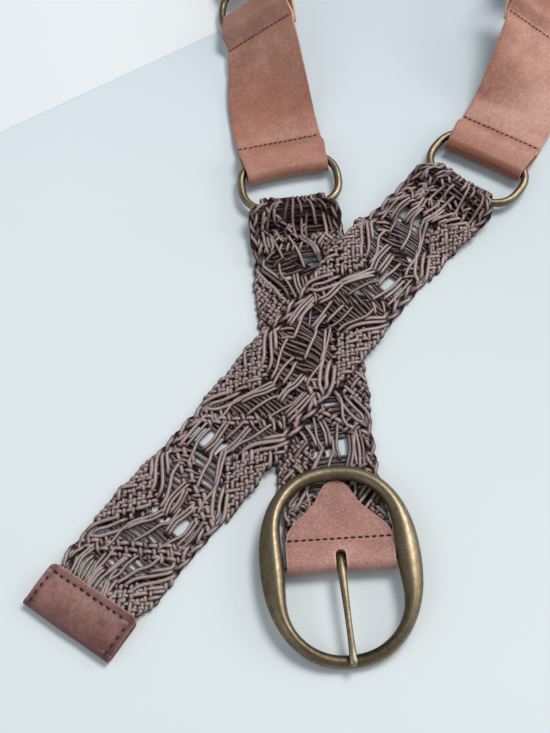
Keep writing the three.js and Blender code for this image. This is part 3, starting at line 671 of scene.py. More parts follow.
def tubes(name, C, N, own, counts, width, thick, tone, body, material, sides, height=None, swell=None, hue=None, two_faced=None):
    first = np.r_[0, np.cumsum(counts)[:-1]]
    last = first + counts - 1
    nxt, prv = np.arange(len(C)) + 1, np.arange(len(C)) - 1
    nxt[last], prv[first] = last, first
    T = C[nxt] - C[prv]
    T /= np.linalg.norm(T, axis=1, keepdims=True) + 1e-9
    B = np.cross(T, N)
    B /= np.linalg.norm(B, axis=1, keepdims=True) + 1e-9
    N = np.cross(B, T)
    w, th = width[own] / 2, thick[own] / 2
    if swell is not None:
        w = w * swell
    taper = np.ones(len(C))
    taper[first] = taper[last] = 0.45
    inner = counts > 4
    taper[first[inner] + 1] = taper[last[inner] - 1] = 0.9
    ang = (np.arange(sides) + 0.5) * 2 * math.pi / sides
    ca, sa = np.cos(ang), np.sin(ang)
    V = C[:, None] + (B[:, None] * ca[None, :, None] * w[:, None, None] + N[:, None] * sa[None, :, None] * th[:, None, None]) * taper[:, None, None]
    along = np.r_[0, np.linalg.norm(np.diff(C, axis=0), axis=1)]
    along[first] = 0
    cum = np.cumsum(along)
    along = cum - cum[first][own]
    idx = np.arange(len(C))
    a = idx[np.isin(idx, last, invert=True)]
    j = np.arange(sides)
    j2 = (j + 1) % sides
    q = np.stack([a[:, None] * sides + j, (a[:, None] + 1) * sides + j, (a[:, None] + 1) * sides + j2, a[:, None] * sides + j2], -1).reshape(-1, 4)
    at_v = lambda i, k: np.stack(np.broadcast_arrays(along[i][:, None], (k / sides)[None]), -1)
    uvq = np.stack([at_v(a, j), at_v(a + 1, j), at_v(a + 1, j + 1), at_v(a, j + 1)], 2).reshape(-1, 4, 2)
    faces, uvs = [q], [uvq]
    for base, flip in ((first, False), (last, True)):
        for k in range(1, sides - 2, 2):
            f = np.stack([base * sides, base * sides + k, base * sides + k + 1, base * sides + k + 2], -1)
            faces.append(f[:, ::-1] if flip else f)
            uvs.append(np.zeros((len(f), 4, 2)))
    F, U = np.vstack(faces), np.vstack(uvs)
    up = np.broadcast_to(sa[None], (len(C), sides))
    if two_faced is not None:
        up = np.where(two_faced[own][:, None] > 1.5, -up, np.where(two_faced[own][:, None] > 0.5, np.abs(up) * 1.2 - 0.2, up))
    # crown: 1 on top of a cord, 0 beneath; the cord material paints shade down the sides and a highlight on top from it
    crown = clamp(up * 0.5 + 0.5)
    if height is not None:
        hh = height if two_faced is None else np.where(two_faced[own] > 0.5, np.abs(height), height)
        # lower cords get a smaller crown, so more painted shade
        crown = crown * clamp(0.84 + 0.16 * (hh[:, None] + 0.75) / 1.5)
        # where a cord dips under its neighbours it lies in the dark
        rel = hh - (np.add.reduceat(hh, first) / counts)[own]
        crown = crown * clamp(0.96 + 0.44 * rel[:, None], 0.40, 1.0)
        # near-black cords and darker-toned cords get a smaller crown: more painted shade, less painted highlight
        crown = crown * np.where(tone[own][:, None] < 0.1, 0.62, 1.0) * clamp(0.84 + 0.32 * tone[own][:, None])
    hue = np.full(len(counts), 0.5) if hue is None else hue
    return mesh_object(name, V.reshape(-1, 3), F, body, attributes={"tone": np.repeat(tone[own], sides), "hue": np.repeat(hue[own], sides), "crown": crown.reshape(-1)}, uv=U, materials=[material])


# ------------------------------------------------------------------ the braid's pattern
# One cell is 42 mm of strap between two slanting ribs. Cells alternate, each the
# mirror image of the one before. x runs along the strap from the cell's middle and
# y points to the side where the cell is wide.
HALF_REPEAT, RIB_SLOPE, RIB_HALF = 42.0, 0.64, 4.5
STEP = 0.95
FLOATS = [
    # points, cords side by side
    ([(-31.0, 12.6), (-26.0, 11.4), (-16.9, 11.0), (-10.9, 8.6), (-4.3, 5.2), (2.3, 2.2)], 1),
    ([(-14.5, 9.6), (-9.0, 6.8), (-4.3, 3.4), (1.0, 0.9)], 1),
    ([(-19.5, 2.4), (-12.1, 0.0), (-5.5, -2.4), (-1.3, -4.4), (7.1, -4.8)], 1),
    ([(-3.7, -6.4), (2.3, -6.4), (7.8, -7.0), (14.2, -7.8)], 1),
    ([(-14.3, -9.0), (-7.3, -11.2), (-1.3, -13.2), (6.5, -13.3)], 1),
    ([(-6.9, -14.6), (1.1, -15.3), (8.1, -15.6)], 1),
    ([(-10.0, -17.3), (0.0, -18.2), (10.0, -18.0)], 1),
    ([(3.4, 5.0), (8.4, 5.8), (13.8, 8.4), (19.2, 11.4), (25.4, 12.4)], 1),
    ([(0.7, 0.8), (7.1, 2.5), (12.6, 3.2), (19.0, 2.9)], 1),
    ([(4.6, -2.0), (10.6, -1.6), (17.0, -0.4)], 1),
]
# The three strands of each edge: they leave the dense part, rise to the edge, plait there
# and fall back into the next dense part 84 mm on. x, y before and after the plait.
EDGE_RISE = [
    [(1.3, 12.4), (9.0, 14.2), (16.2, 20.0), (21.6, 23.2)],
    [(16.0, 12.0), (19.4, 14.8), (22.8, 18.2)],
    [(1.5, 7.6), (9.8, 10.2), (17.0, 16.0), (22.0, 20.6)],
]
EDGE_FALL = [
    [(58.6, 20.4), (63.0, 17.4), (68.6, 14.2), (73.0, 12.4)],
    [(57.0, 17.4), (61.4, 14.2), (66.9, 10.9), (75.5, 7.2)],
    [(58.6, 23.4), (62.6, 21.6), (68.3, 18.0), (71.0, 16.2)],
]
RUNGS = [
    # x, top y, slant of the foot
    (-27.4, 16.6, -1.4), (-24.6, 16.6, -1.4), (-21.6, 15.6, -1.6), (-18.4, 14.0, -1.8), (-15.4, 12.4, -1.8), (-12.3, 11.0, -1.7), (-9.4, 9.6, -1.4), (-6.4, 8.2, -0.8), (-4.4, 7.2, -0.5),
    (7.6, 7.0, 0.5), (9.6, 8.2, 0.8), (12.6, 12.4, 1.4), (15.7, 15.2, 1.7), (18.8, 17.6, 1.8), (21.8, 18.6, 1.7), (24.8, 18.4, 1.3), (27.6, 18.0, 1.3),
]


def clampf(v, a=0.0, b=1.0):
    return float(min(b, max(a, v)))


def runs(inside, least):
    return [(a, b) for a, b in np.flatnonzero(np.diff(np.r_[0, inside.astype(int), 0])).reshape(-1, 2) if b - a >= least]


def bulge(h, amp):
    return 1 + 0.13 * clamp(np.abs(h) / amp) * np.sign(h)


def weave_lines(mask, centre_s, reach, theta, pitch, width, thick, amp, cords, tone_base, rand, extend=1.5, both=False, lead=0):
    """Two families of crossing cords inside a region, one over one under; mask(s, t) says what is in."""
    st, ct = math.sin(theta), math.cos(theta)
    for family in (1, -1):
        n = int(reach / pitch) + 1
        i0 = round(centre_s * st / pitch)
        for i in range(i0 - n, i0 + n + 1):
            # points of the line  s*st - family*t*ct = i*pitch
            d = np.arange(-reach * 1.5, reach * 1.5, 0.45)
            base_s, base_t = i * pitch * st, -family * i * pitch * ct
            k0 = (centre_s - base_s) * ct
            wob = rand.normal(0, 0.34) + 0.38 * np.sin(d / rand.uniform(2.2, 5) + rand.uniform(0, 6))
            s = base_s + (d + k0) * ct - family * st * wob
            t = base_t + family * (d + k0) * st + ct * wob
            for a, b in runs(mask(s, t), 4):
                e = int(extend / 0.45)
                a2, b2 = max(0, a - e), min(len(s), b + e)
                ss, tt = s[a2:b2], t[a2:b2]
                other = (ss * st + family * tt * ct) / pitch
                h = family * amp * np.tanh(1.4 * np.cos(math.pi * (other + i))) / math.tanh(1.4)
                first = lead and not both and family == lead
                h = h + (0.26 if first else -0.22 if lead and not both else 0.0)
                m = np.arange(len(ss))
                sink = np.minimum(1, np.minimum(m, len(ss) - 1 - m) / max(1, e))
                h = h * sink - (1 - sink) * 0.6
                take = np.unique(np.r_[np.arange(0, len(ss), 2), len(ss) - 1])
                cords.add(np.stack([ss, tt, h], -1)[take], width * rand.uniform(0.90, 1.08) * (1.06 if first else 0.92), thick, clampf(tone_base + rand.normal(0, 0.16)), bulge(h, amp)[take], clampf(rand.normal(0.5, 0.3)), float(both))


def braid(c0, k_range, rand, both=False, packed=()):
    """All the cords of a strap. c0 is where cell 0, wide on the left, has its middle."""
    cords = Cords()
    for k in k_range:
        side = 1 if k % 2 == 0 else -1
        c = c0 + HALF_REPEAT * k

        def put(pts, h, width=1.8, thick=1.55, tone=0.55, swell=None, face=0.0):
            p = np.asarray(pts, float)
            out = np.column_stack([c + p[:, 0], -side * p[:, 1], np.asarray(h, float)])
            cords.add(out, width * rand.uniform(0.92, 1.08), thick, clampf(tone + rand.normal(0, 0.16)), swell, clampf(rand.normal(0.5, 0.3)), face)

        # --- the rib at the cell's start, one over one under
        rs = c - HALF_REPEAT / 2

        def rib(s, t, rs=rs, side=side):
            return (np.abs(s - (rs + RIB_SLOPE * side * t)) < RIB_HALF) & (np.abs(t) < 22.4)

        weave_lines(rib, rs, 34, 56 * RAD, 3.25, 1.98, 1.55, 0.86, cords, 0.62, rand, both=both, lead=side)

        # --- the dense wedge on the wide edge: each cord runs up to the edge, turns and runs back
        a, tan, top = 3.65, 0.84, 25.0
        slip = np.where(rand.random((80, 80)) < 0.07, -1.0, 1.0)
        for j in range(-8, 8):
            x0 = j * a + 0.6 + rand.normal(0, 0.26)
            if x0 < -25 or x0 > 22.5:
                continue
            xs = np.arange(-42, 43) * (a / 6)
            depth = (np.sqrt((xs * tan) ** 2 + 0.8**2) - 0.8) * rand.uniform(0.95, 1.05)
            wob = 0.40 * np.sin(xs / rand.uniform(2.0, 4.6) + rand.uniform(0, 6)) + 0.20 * np.sin(xs / rand.uniform(1.0, 1.8) + rand.uniform(0, 6))
            y = top - depth + wob + rand.normal(0, 0.4)
            x = x0 + xs
            # at its n-th crossing the cord meets the one n places further; one of the two is on top
            m = 2 * np.abs(xs) / a
            n0 = np.floor(m + 1e-6).astype(int)
            way = np.where(xs < 0, 1.0, -1.0)

            def over(n):
                first, second = np.where(xs < 0, j - n, j), np.where(xs < 0, j, j + n)
                return np.where(n == 0, 0.0, way * np.where(n % 2 == 0, 1.0, -1.0) * slip[first + 40, second + 40])

            k1 = smooth(m - n0)
            h = rand.uniform(0.80, 0.98) * mix(over(n0), over(n0 + 1), k1)
            low = np.where(x < -1.5, np.interp(x, [-27, -1.5], [25.5, 3.4]), np.interp(x, [-1.5, 5, 24.5], [3.4, 7.4, 25.5]))
            for p0, p1 in runs((y > low - 0.8) & (x > -26) & (x < 25), 5):
                idx = np.arange(p0, p1)
                e = np.minimum(1, np.minimum(idx - p0, p1 - 1 - idx) / 2.0)
                fat = bulge(h, 0.74)[idx] * (1 + 0.10 * np.sin(xs[idx] / 1.7 + rand.uniform(0, 6)))
                put(np.column_stack([x[idx], y[idx]]), h[idx] * e - (1 - e) * 0.5, 1.94, 1.5, 0.64, fat, float(both))

        # --- long floats that sweep over the open parts
        for pts, n in FLOATS:
            p = np.array(pts, float)
            p[:, 0] += rand.normal(0, 0.8)
            p[:, 1] += rand.normal(0, 0.5) + rand.normal(0, 0.35, len(p))
            n = 2 if rand.random() < 0.22 else 1
            d = np.gradient(p, axis=0)
            d /= np.linalg.norm(d, axis=1, keepdims=True)
            nrm = np.column_stack([-d[:, 1], d[:, 0]])
            for i in range(n):
                q = p + nrm * (i - (n - 1) / 2) * rand.uniform(1.75, 2.05)
                q = np.vstack([q[0] - d[0] * 2.4, q, q[-1] + d[-1] * 2.0])
                full = resample(np.column_stack([q, np.zeros(len(q))]), STEP)
                m = len(full)
                x = np.arange(m)
                end = np.minimum(1, np.minimum(x, m - 1 - x) * STEP / 4.6)
                h = mix(-1.0, 0.86 + rand.uniform(-0.05, 0.2), smooth(end)) + 0.12 * np.sin(x * STEP / 5.0 + rand.uniform(0, 6))
                w = rand.uniform(1.62, 1.95)
                if both:
                    put(full[:, :2], h * 0.92 + 0.1, w, 1.5, 0.6)
                    put(np.column_stack([full[:, 0] + 1.1, full[:, 1] - 0.6]), -(h * 0.92 + 0.1), w, 1.5, 0.6, None, 2.0)
                else:
                    put(full[:, :2], h, w, 1.55, 0.63)

        # --- rungs under the floats, from the wide side down to the rib
        rx, ry, rs_ = (np.array(v) for v in zip(*RUNGS))
        many = 1.18 if k in packed else 1.0
        for x in [*np.linspace(-28.6, -4.0, round(11 * many)), *np.linspace(7.2, 28.0, round(9.4 * many))]:
            y_top, slant = float(np.interp(x, rx, ry)) + rand.normal(0, 0.6), float(np.interp(x, rx, rs_)) * rand.uniform(0.8, 1.3)
            x = x + rand.normal(0, 0.32)
            y_rib = (-(x + 21) if x < 0 else (x - 21)) / RIB_SLOPE
            y_end = max(y_rib - 1.0, -20.0)
            if y_top - y_end < 4:
                continue
            k5 = np.linspace(0, 1, 7)
            yy = mix(y_top + 1.6, y_end, k5)
            xx = x - (1.35 * slant) * np.sin(math.pi * k5) * rand.uniform(0.6, 1.2) * min(1.0, (y_top - y_end) / 14) + slant * k5 * min(1.0, (y_top - y_end) / 18)
            full = resample(np.column_stack([xx, yy, np.zeros(7)]), 1.5)
            m = len(full)
            n = np.arange(m)
            end = np.minimum(1, np.minimum(n, m - 1 - n) * STEP / 2.0)
            h = mix(-0.8, -0.42 + 0.12 * rand.normal(), smooth(end)) + 0.12 * np.sin(n * 0.7 + rand.uniform(0, 6))
            if both:
                h = h * 0.15
            put(full[:, :2], h, rand.uniform(1.30, 1.60) + 0.18 * (k in packed), 1.4, 0.54, None, float(both))

        # --- the edge's strands, from this dense part to the next one on the same side
        wave, amp_y, mid_y = rand.uniform(30.5, 33.5), 2.15, 21.7
        for i in range(3):
            xs = np.arange(25.0, 56.1, 1.2)
            th = 2 * math.pi * (xs - 25) / wave - 4.36 + i * 2 * math.pi / 3
            plait = np.column_stack([xs, mid_y + amp_y * np.sin(th), 0.72 * np.sin(2 * th)])
            rise = np.array([(x, y, 0.85) for x, y in EDGE_RISE[i]])
            fall = np.array([(x, y, 0.85) for x, y in EDGE_FALL[2 - i]])
            rise[0, 2], fall[-1, 2] = -0.5, -0.5
            base = np.vstack([rise, plait, fall])
            base[:, :2] += rand.normal(0, 0.16, (len(base), 2))
            full = resample(base, STEP)
            put(full[:, :2], full[:, 2] + 0.08 * np.sin(np.arange(len(full)) * 0.31 + rand.uniform(0, 6)), rand.uniform(1.9, 2.15), 1.6, 0.62, bulge(full[:, 2], 0.9), float(both))

        # --- black cords behind the rungs where the strap lies on the other one, and beside the dense part, put in as painted shade in the hollows
        low_h = -0.1 if both else -0.98

        def hollow(x, y, w=2.3):
            out = np.column_stack([c + x, -side * y, np.full(len(x), low_h)])
            cords.add(out, w, 1.1, 0.0, None, 0.5, float(both))

        if k in packed:
            for y0 in np.arange(-17.0, 15.1, 2.5):
                x = np.arange(max(-28.0, -21 - RIB_SLOPE * y0 - 3.5), -3.6, 1.8)
                if len(x) > 4:
                    hollow(x, y0 + 0.8 * np.sin(x / rand.uniform(2.6, 4.4) + rand.uniform(0, 6)) + rand.normal(0, 0.4))
        for off in (-2.6, 0.6):
            for sgn, x1 in ((1, 25.0), (-1, -28.0)):
                x = np.linspace(3.0 * sgn, x1, 13)
                y = 5.2 + (np.abs(x) - 2) * 0.80 - off + 0.4 * np.sin(x / 2.7 + rand.uniform(0, 6))
                hollow(x[y < 22.5], y[y < 22.5])
        # and under the rib at the cell's end
        for d in (-4.4, -1.6, 1.2, 4.0):
            y = np.arange(-20.0, 20.1, 2.5)
            x = 21 + RIB_SLOPE * y * 1.0 + d + 0.4 * np.sin(y / 3.3 + rand.uniform(0, 6))
            hollow(x, y)

        # --- short cords that tie the plait to the ribs
        for x0, y0, x1, y1 in ((-9.5, -12.5, -15.5, -19.0), (8.5, -13.0, 14.0, -19.0), (-2.0, -14.8, -7.0, -20.0), (12.5, -10.5, 17.5, -16.0), (-13.5, -9.0, -19.0, -15.5)):
            p = resample([(x0, y0, 0), ((x0 + x1) / 2 + 0.8, (y0 + y1) / 2, 0.35), (x1, y1, 0)], STEP)
            m = len(p)
            n = np.arange(m)
            e = smooth(np.minimum(n, m - 1 - n) * STEP / 2.0)
            put(p[:, :2], mix(-0.6, 0.55, e), 1.8, 1.5, 0.56, None, float(both))
    return cords


def lashing(cords, s_mid, rand, lift=0.0):
    """Short slanting stitches across a strap that hold its turned-back end."""
    for t in np.arange(-21, 21.1, 3.7):
        t = t + rand.normal(0, 0.5)
        l = rand.uniform(4.6, 6.4)
        p = resample([(s_mid - l / 2, t - 0.9, -0.9), (s_mid - l / 4, t - 0.5, 1.05), (s_mid + l / 4, t + 0.6, 1.05), (s_mid + l / 2, t + 1.0, -0.9)], 0.9)
        cords.add(p, 1.7, 1.45, clampf(0.55 + rand.normal(0, 0.12)))


def close_end(cords, s0, s1, s_fold, rand):
    """The last stretch before a ring, drawn together: bowed cross cords packed side by side under lengthwise ones."""
    s, bend = s0, rand.uniform(1.6, 2.6)
    while s < s1:
        t = np.arange(-23.4, 23.5, 1.1)
        bow = bend * rand.uniform(0.7, 1.3) * np.cos(t / 25 * 1.5) * clamp((s_fold - 4 - s) / 5) + 0.4 * np.sin(t / rand.uniform(3, 5) + rand.uniform(0, 6))
        h = -0.42 + 0.46 * math.exp(-(((s - s_fold) / 5.5) ** 2)) + 0.26 * np.sin(t / rand.uniform(2.6, 4.2) + rand.uniform(0, 6))
        h = h - 0.45 * smooth((np.abs(t) - 20.5) / 2.6)
        # the cross cords are darker in tone than the lengthwise ones, and both darker than elsewhere in the braid:
        # painted shade of the doubled end
        cords.add(np.column_stack([s + bow, t, h]), rand.uniform(1.4, 1.75), 1.4, clampf(0.27 + rand.normal(0, 0.14), 0.11), None, clampf(rand.normal(0.5, 0.3)))
        step = rand.uniform(2.3, 3.0) if abs(s - s_fold) > 7 else rand.uniform(1.8, 2.2)
        # near-black cords under the gaps between cross cords, painted shade
        cords.add(np.column_stack([s + step / 2 + bow, t, h * 0 - 1.15])[::2], 2.4, 0.8, 0.0)
        s += step
    ts = [-17.4, -14.2, -10.0, -5.6, -1.2, 3.4, 7.6, 11.8, 15.0, 18.2]
    for j, t0 in enumerate(ts):
        t0 = t0 + rand.normal(0, 0.5)
        x = np.arange(s0 - 2.5, s1 + 0.1, 1.0)
        t = t0 + rand.uniform(0.6, 1.6) * np.sin((x - s_fold) / rand.uniform(4.5, 8) + rand.uniform(0, 6))
        k = np.arange(len(x))
        h = 0.70 + 0.16 * np.sin(x / rand.uniform(2.0, 3.5) + rand.uniform(0, 6)) - 0.35 * np.exp(-(((x - s_fold) / 5.0) ** 2))
        # now and then a lengthwise cord dips under two cross cords
        for dip in rand.uniform(s0 + 2, s1 - 4, 3):
            if abs(dip - s_fold) > 5:
                h = h - 1.6 * np.exp(-(((x - dip) / rand.uniform(1.6, 2.6)) ** 2))
        e = smooth(np.minimum(k, len(x) - 1 - k) / 3.0)
        cords.add(np.column_stack([x, t, mix(-0.5, h, e)]), rand.uniform(1.75, 2.05), 1.5, clampf(0.42 + rand.normal(0, 0.16), 0.12), None, clampf(rand.normal(0.5, 0.3)))
    # a plait of three runs up each edge, over near-black cords that close it, painted shade under the plait
    for side in (-1, 1):
        for off in (24.2, 22.2, 20.0):
            x = np.arange(s0 - 3.0, s1 + 0.1, 1.2)
            cords.add(np.column_stack([x, side * (off + 0.25 * np.sin(x / 3.7 + off)), np.full(len(x), -0.9)]), 2.2, 1.2, 0.0)
        for i in range(3):
            x = np.arange(s0 - 4.0, s1 + 0.1, 0.95)
            th = 2 * math.pi * x / 21.0 + i * 2 * math.pi / 3 + side
            k = np.arange(len(x))
            e = smooth(np.minimum(k, len(x) - 1 - k) / 3.0)
            cords.add(np.column_stack([x, side * (22.6 + 1.9 * np.sin(th)), mix(-0.5, 0.62 * np.sin(2 * th) + 0.1, e)]), rand.uniform(1.85, 2.05), 1.55, clampf(0.46 + rand.normal(0, 0.14), 0.12), None, clampf(rand.normal(0.5, 0.3)))
    # knots where cords cross
    for i in range(30):
        sm, tm = (rand.uniform(s0 - 2, s0 + 8), rand.uniform(-19, 19)) if i < 18 else (rand.uniform(s0 + 4, s_fold - 3), rand.uniform(-18, -6))
        ang = rand.choice([-1, 1]) * rand.uniform(0.5, 1.0)
        d = np.linspace(-2.7, 2.7, 9)
        cords.add(np.column_stack([sm + d * math.cos(ang), tm + d * math.sin(ang), 1.15 - 1.6 * (np.abs(d) / 2.7) ** 2.6]), rand.uniform(1.6, 1.9), 1.5, clampf(0.46 + rand.normal(0, 0.16)), None, clampf(rand.normal(0.5, 0.3)))


# cords that come out of the cap, left of the middle first
NEAR_CAP = [
    [(14, 15.4), (26, 17.2), (36, 16.3)], [(14, 10.0), (28, 10.3), (35.5, 11.4)], [(14, 5.4), (27, 6.6), (34, 8.6), (41.5, 9.4)], [(14, 3.4), (28, 4.2), (35, 3.8)],
    [(14, 0.4), (28, 1.8), (36, 1.2), (47, -0.8)], [(14, -4.2), (26, -2.8), (34, -0.6), (39, -0.4)], [(14, -7.2), (27, -5.4), (35, -3.8)], [(14, 8.2), (25, 8.0), (30, 5.6)], [(14, -10.5), (24, -9.6), (31, -7.6)],
]


def make_braids():
    made = {}
    r = np.random.default_rng(11)
    rib = long_ribbon()
    # u of cell 0 is 47.3; s is 0 at u = -10
    c = braid(47.3 + 10.0, range(-3, 9), r, packed=(2, 3))
    for pts in NEAR_CAP:
        p = resample([(x - 13.8, -y, 0.0) for x, y in pts], STEP)
        k = np.arange(len(p))
        e = smooth((len(p) - 1 - k) * STEP / 2.5)
        c.add(np.column_stack([p[:, 0], p[:, 1], mix(-0.4, 0.72, e)]), r.uniform(1.6, 1.9), 1.5, clampf(0.6 + r.normal(0, 0.14)), None, clampf(r.normal(0.5, 0.3)))
    fold = rib.top_s(LONG["length"])
    c.trim(2.0, fold - 24.0)
    close_end(c, fold - 25.5, rib.length - 0.6, fold, r)
    lashing(c, rib.top_s(LONG["length"] - 28.5), r)
    c.rows = [row[:3] + (clampf(row[3] + 0.07),) + tuple(row[4:]) for row in c.rows]
    made["long"] = c.build("braid_long_cords", rib, "belt", CORD, share=(0.0, 0.5))
    made["long2"] = c.build("braid_long_cords_ring_end", rib, "belt", CORD, share=(0.5, 1.0))
    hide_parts("braid_long")
    r = np.random.default_rng(12)
    rib = short_ribbon()
    c = braid(62.0 - 13.5, range(-3, 7), r)
    fold = rib.top_s(SHORT["length"])
    c.trim(1.0, fold - 26.0)
    close_end(c, fold - 27.5, rib.length - 0.6, fold, r)
    lashing(c, rib.top_s(SHORT["length"] - 30.0), r)
    # toned down to the photo, where the strap underneath looks darker; whether by dye or by shade is not known
    c.rows = [row[:3] + (clampf(row[3] - 0.13),) + tuple(row[4:]) for row in c.rows]
    made["short"] = c.build("braid_short_cords", rib, "belt", CORD, share=(0.0, 0.5))
    made["short2"] = c.build("braid_short_cords_ring_end", rib, "belt", CORD, share=(0.5, 1.0))
    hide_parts("braid_short")
    r = np.random.default_rng(13)
    rib = back_ribbon()
    c = braid(30.0, range(-3, 12), r, both=True)
    c.trim(0.5, rib.length - 0.5)
    made["back"] = c.build("braid_back_cords", rib, "belt", CORD, share=(0.0, 0.5))
    made["back2"] = c.build("braid_back_cords_other_end", rib, "belt", CORD, share=(0.5, 1.0))
    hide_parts("braid_back")
    return made


# ------------------------------------------------------------------ leather
def leather_sheet(name, ribbon, s_list, half_of, thickness, mats, body, columns=30, groove=(), wave=0.12, seed=1, bevel=0.42, folds=(), base=0.0, fold_darkening=1.0, shade=()):
    """A bent leather strip: its middle surface as a grid, thickened, with rounded raw edges."""
    r = np.random.default_rng(seed)
    s_list = np.asarray(s_list, float)
    v = np.linspace(-1, 1, columns + 1)
    v = np.sign(v) * (1 - (1 - np.abs(v)) ** 1.15)
    S, Vv = np.meshgrid(s_list, v, indexing="ij")
    half = half_of(s_list)[:, None]
    T = Vv * half
    ph = r.uniform(0, 6.28, 6)
    H = wave * (np.sin(S / 13.0 + ph[0] + Vv * 1.3) * 0.6 + np.sin(S / 29.0 + ph[1] - Vv * 2.0) + 0.5 * np.sin(S / 7.0 + Vv * 3.1 + ph[2]))
    for g, depth, width in groove:
        H = H - depth * np.exp(-(((S - g) / width) ** 2))
    P = ribbon(S, T, H)
    ni, nj = P.shape[:2]
    idx = np.arange(ni * nj).reshape(ni, nj)
    F = np.stack([idx[:-1, :-1], idx[:-1, 1:], idx[1:, 1:], idx[1:, :-1]], -1).reshape(-1, 4)
    edge = np.abs(Vv) + 0 * S
    # darkening: partly rubbed leather and partly painted shade over the folds and in the stitch grooves, base as
    # painted shade all over, then the bands of painted shade and painted highlight
    darken = fold_darkening * sum(1 / (1 + np.exp((np.abs(S - f) - 17.0) / 2.2)) * 0.62 + 0.38 * np.exp(-(((S - f) / 6.0) ** 2)) for f in folds) + sum(0.55 * np.exp(-(((S - g) / 1.6) ** 2)) for g, _, _ in groove) + 0 * S + base
    for at_s, width, amount, slant in shade:
        darken = darken + amount * np.exp(-(((S - at_s - slant * T) / width) ** 2))
    ob = mesh_object(name, P.reshape(-1, 3), F, body, attributes={"edge": edge.reshape(-1), "burnish_and_shade": darken.reshape(-1)}, materials=mats)
    sol = ob.modifiers.new("thickness", "SOLIDIFY")
    sol.thickness, sol.offset, sol.use_even_offset = thickness / 1000, 0.0, True
    sol.material_offset_rim = 1
    bev = ob.modifiers.new("edges", "BEVEL")
    bev.width, bev.segments, bev.limit_method, bev.angle_limit = bevel / 1000, 3, "ANGLE", 50 * RAD
    bev.use_clamp_overlap = True
    return ob


def stitch_row(name, ribbon, points, body, radius=0.36, sides=8, lift=1.0, tone=0.5, dive=0.7, thread=None):
    """Stitches from points [(s0, t0, s1, t1)]: each thread rises from one hole, lies on the face and dives again."""
    C, N, own, counts, n = [], [], [], [], 0
    k = np.linspace(0, 1, 9)
    for s0, t0, s1, t1 in points:
        h = lift + 0.16 + 0.16 * np.sin(math.pi * k) - dive * (np.clip(np.abs(k - 0.5) * 2 - 0.72, 0, 1) / 0.28) ** 1.6
        c = ribbon(mix(s0, s1, k), mix(t0, t1, k), h)
        C.append(c)
        N.append(ribbon(mix(s0, s1, k), mix(t0, t1, k), h + 0.2) - c)
        own += [n] * 9
        counts.append(9)
        n += 1
    ob = tubes(name, np.vstack(C), np.vstack(N), np.array(own), np.array(counts), np.full(n, radius * 2.2), np.full(n, radius * 1.7), np.full(n, tone), body, thread or THREAD, sides)
    return ob


def panel_ribbon(lie, route):
    L = lie["length"]
    top = lambda x: np.where(x < 14.5, RING_H + LSNUG, np.where(x < 23, mix(RING_H + LSNUG, 3.35, smooth((x - 14.5) / 8.5)), np.where(x < 28, 3.35, mix(3.35, 1.6, smooth((x - 28) / 14)))))
    under = lambda x: np.where(x < 15.5, RING_H - LSNUG, mix(RING_H - LSNUG, 1.05, smooth((x - 15.5) / 4.5)))
    half = lambda u: mix(LEATHER_FOLD_HALF, LEATHER_HALF, smooth(np.minimum(u, L - u) / 18))
    a = np.linspace(0, math.pi, 24)
    xs = np.arange(LEATHER_FLAP, LSNUG, -0.5)
    u = np.arange(LSNUG + 0.4, L - LSNUG - 0.3, 0.5)
    x2 = np.arange(LSNUG + 0.4, LEATHER_FLAP + 0.01, 0.5)
    uu = np.r_[xs, LSNUG - LSNUG * np.sin(a), u, L - LSNUG + LSNUG * np.sin(a), L - x2]
    hh = np.r_[under(xs), RING_H - LSNUG * np.cos(a), top(np.minimum(u, L - u)), RING_H + LSNUG * np.cos(a), under(x2)]
    dish = np.r_[xs * 0, -0.6 * np.sin(a), u * 0, 0.6 * np.sin(a), x2 * 0]
    q = half(np.clip(uu, 0, L))
    return Ribbon(uu, hh, q / LEATHER_HALF, dish, route.place), len(xs), len(xs) + len(a)


def make_panel(key, lie, route, seed):
    rib, i_fold, i_top = panel_ribbon(lie, route)
    L = lie["length"]
    n_top = int(round((L - 2 * LSNUG - 0.7) / 0.5))
    top_u, top_s = rib.u[i_top : i_top + n_top], rib.s[i_top : i_top + n_top]
    s_at = lambda u: float(np.interp(u, top_u, top_s))
    g = [s_at(STITCH_AT), s_at(L - STITCH_AT)]
    # the grid is finer at the stitch lines and folds
    s, out = 0.0, []
    while s < rib.length:
        out.append(s)
        near = min(abs(s - x) for x in g)
        fold = min(abs(s - rib.s[i_fold + 12]), abs(s - (rib.length - rib.s[i_fold + 12])))
        s += 0.42 if near < 2.2 else 0.7 if fold < 8 else 1.5
    out.append(rib.length)
    # bands of painted shade and painted highlight, the light and shade of the bend put into the colour
    shade = [(s_at(50), 15.0, 0.42, 0.25), (s_at(84), 12.0, -0.24, 0.0)] if seed == 32 else [(s_at(58), 13.0, 0.30, -0.3)]
    # the short panel is darker all over (base) as painted shade, with less darkening at its folds; the long panel's
    # folds are darkened more
    ob = leather_sheet(key, rib, out, lambda s: np.full(len(s), LEATHER_HALF), LEATHER_T - 0.02, [PANEL, RAW], "belt", columns=26, groove=[(x, 0.26, 0.75) for x in g], seed=seed, folds=(rib.s[i_fold + 8], rib.length - rib.s[i_fold + 8]), base=0.32 if seed == 32 else 0.0, fold_darkening=0.5 if seed == 32 else 1.65, shade=shade)
    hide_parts(key.replace("_leather", ""))
    r = np.random.default_rng(seed)
    pts = []
    for x in g:
        t = -LEATHER_HALF + 0.6
        while t < LEATHER_HALF - 2.2:
            l = 2.0 * r.uniform(0.88, 1.12)
            j = r.normal(0, 0.12)
            pts.append((x + j - 0.12, t, x + j + 0.12, t + l))
            t += 2.85
    stitch_row(key + "_stitches", rib, pts, "belt", radius=0.26, lift=LEATHER_T / 2 - 0.14, thread=THREAD_BROWN)
    return ob, rib


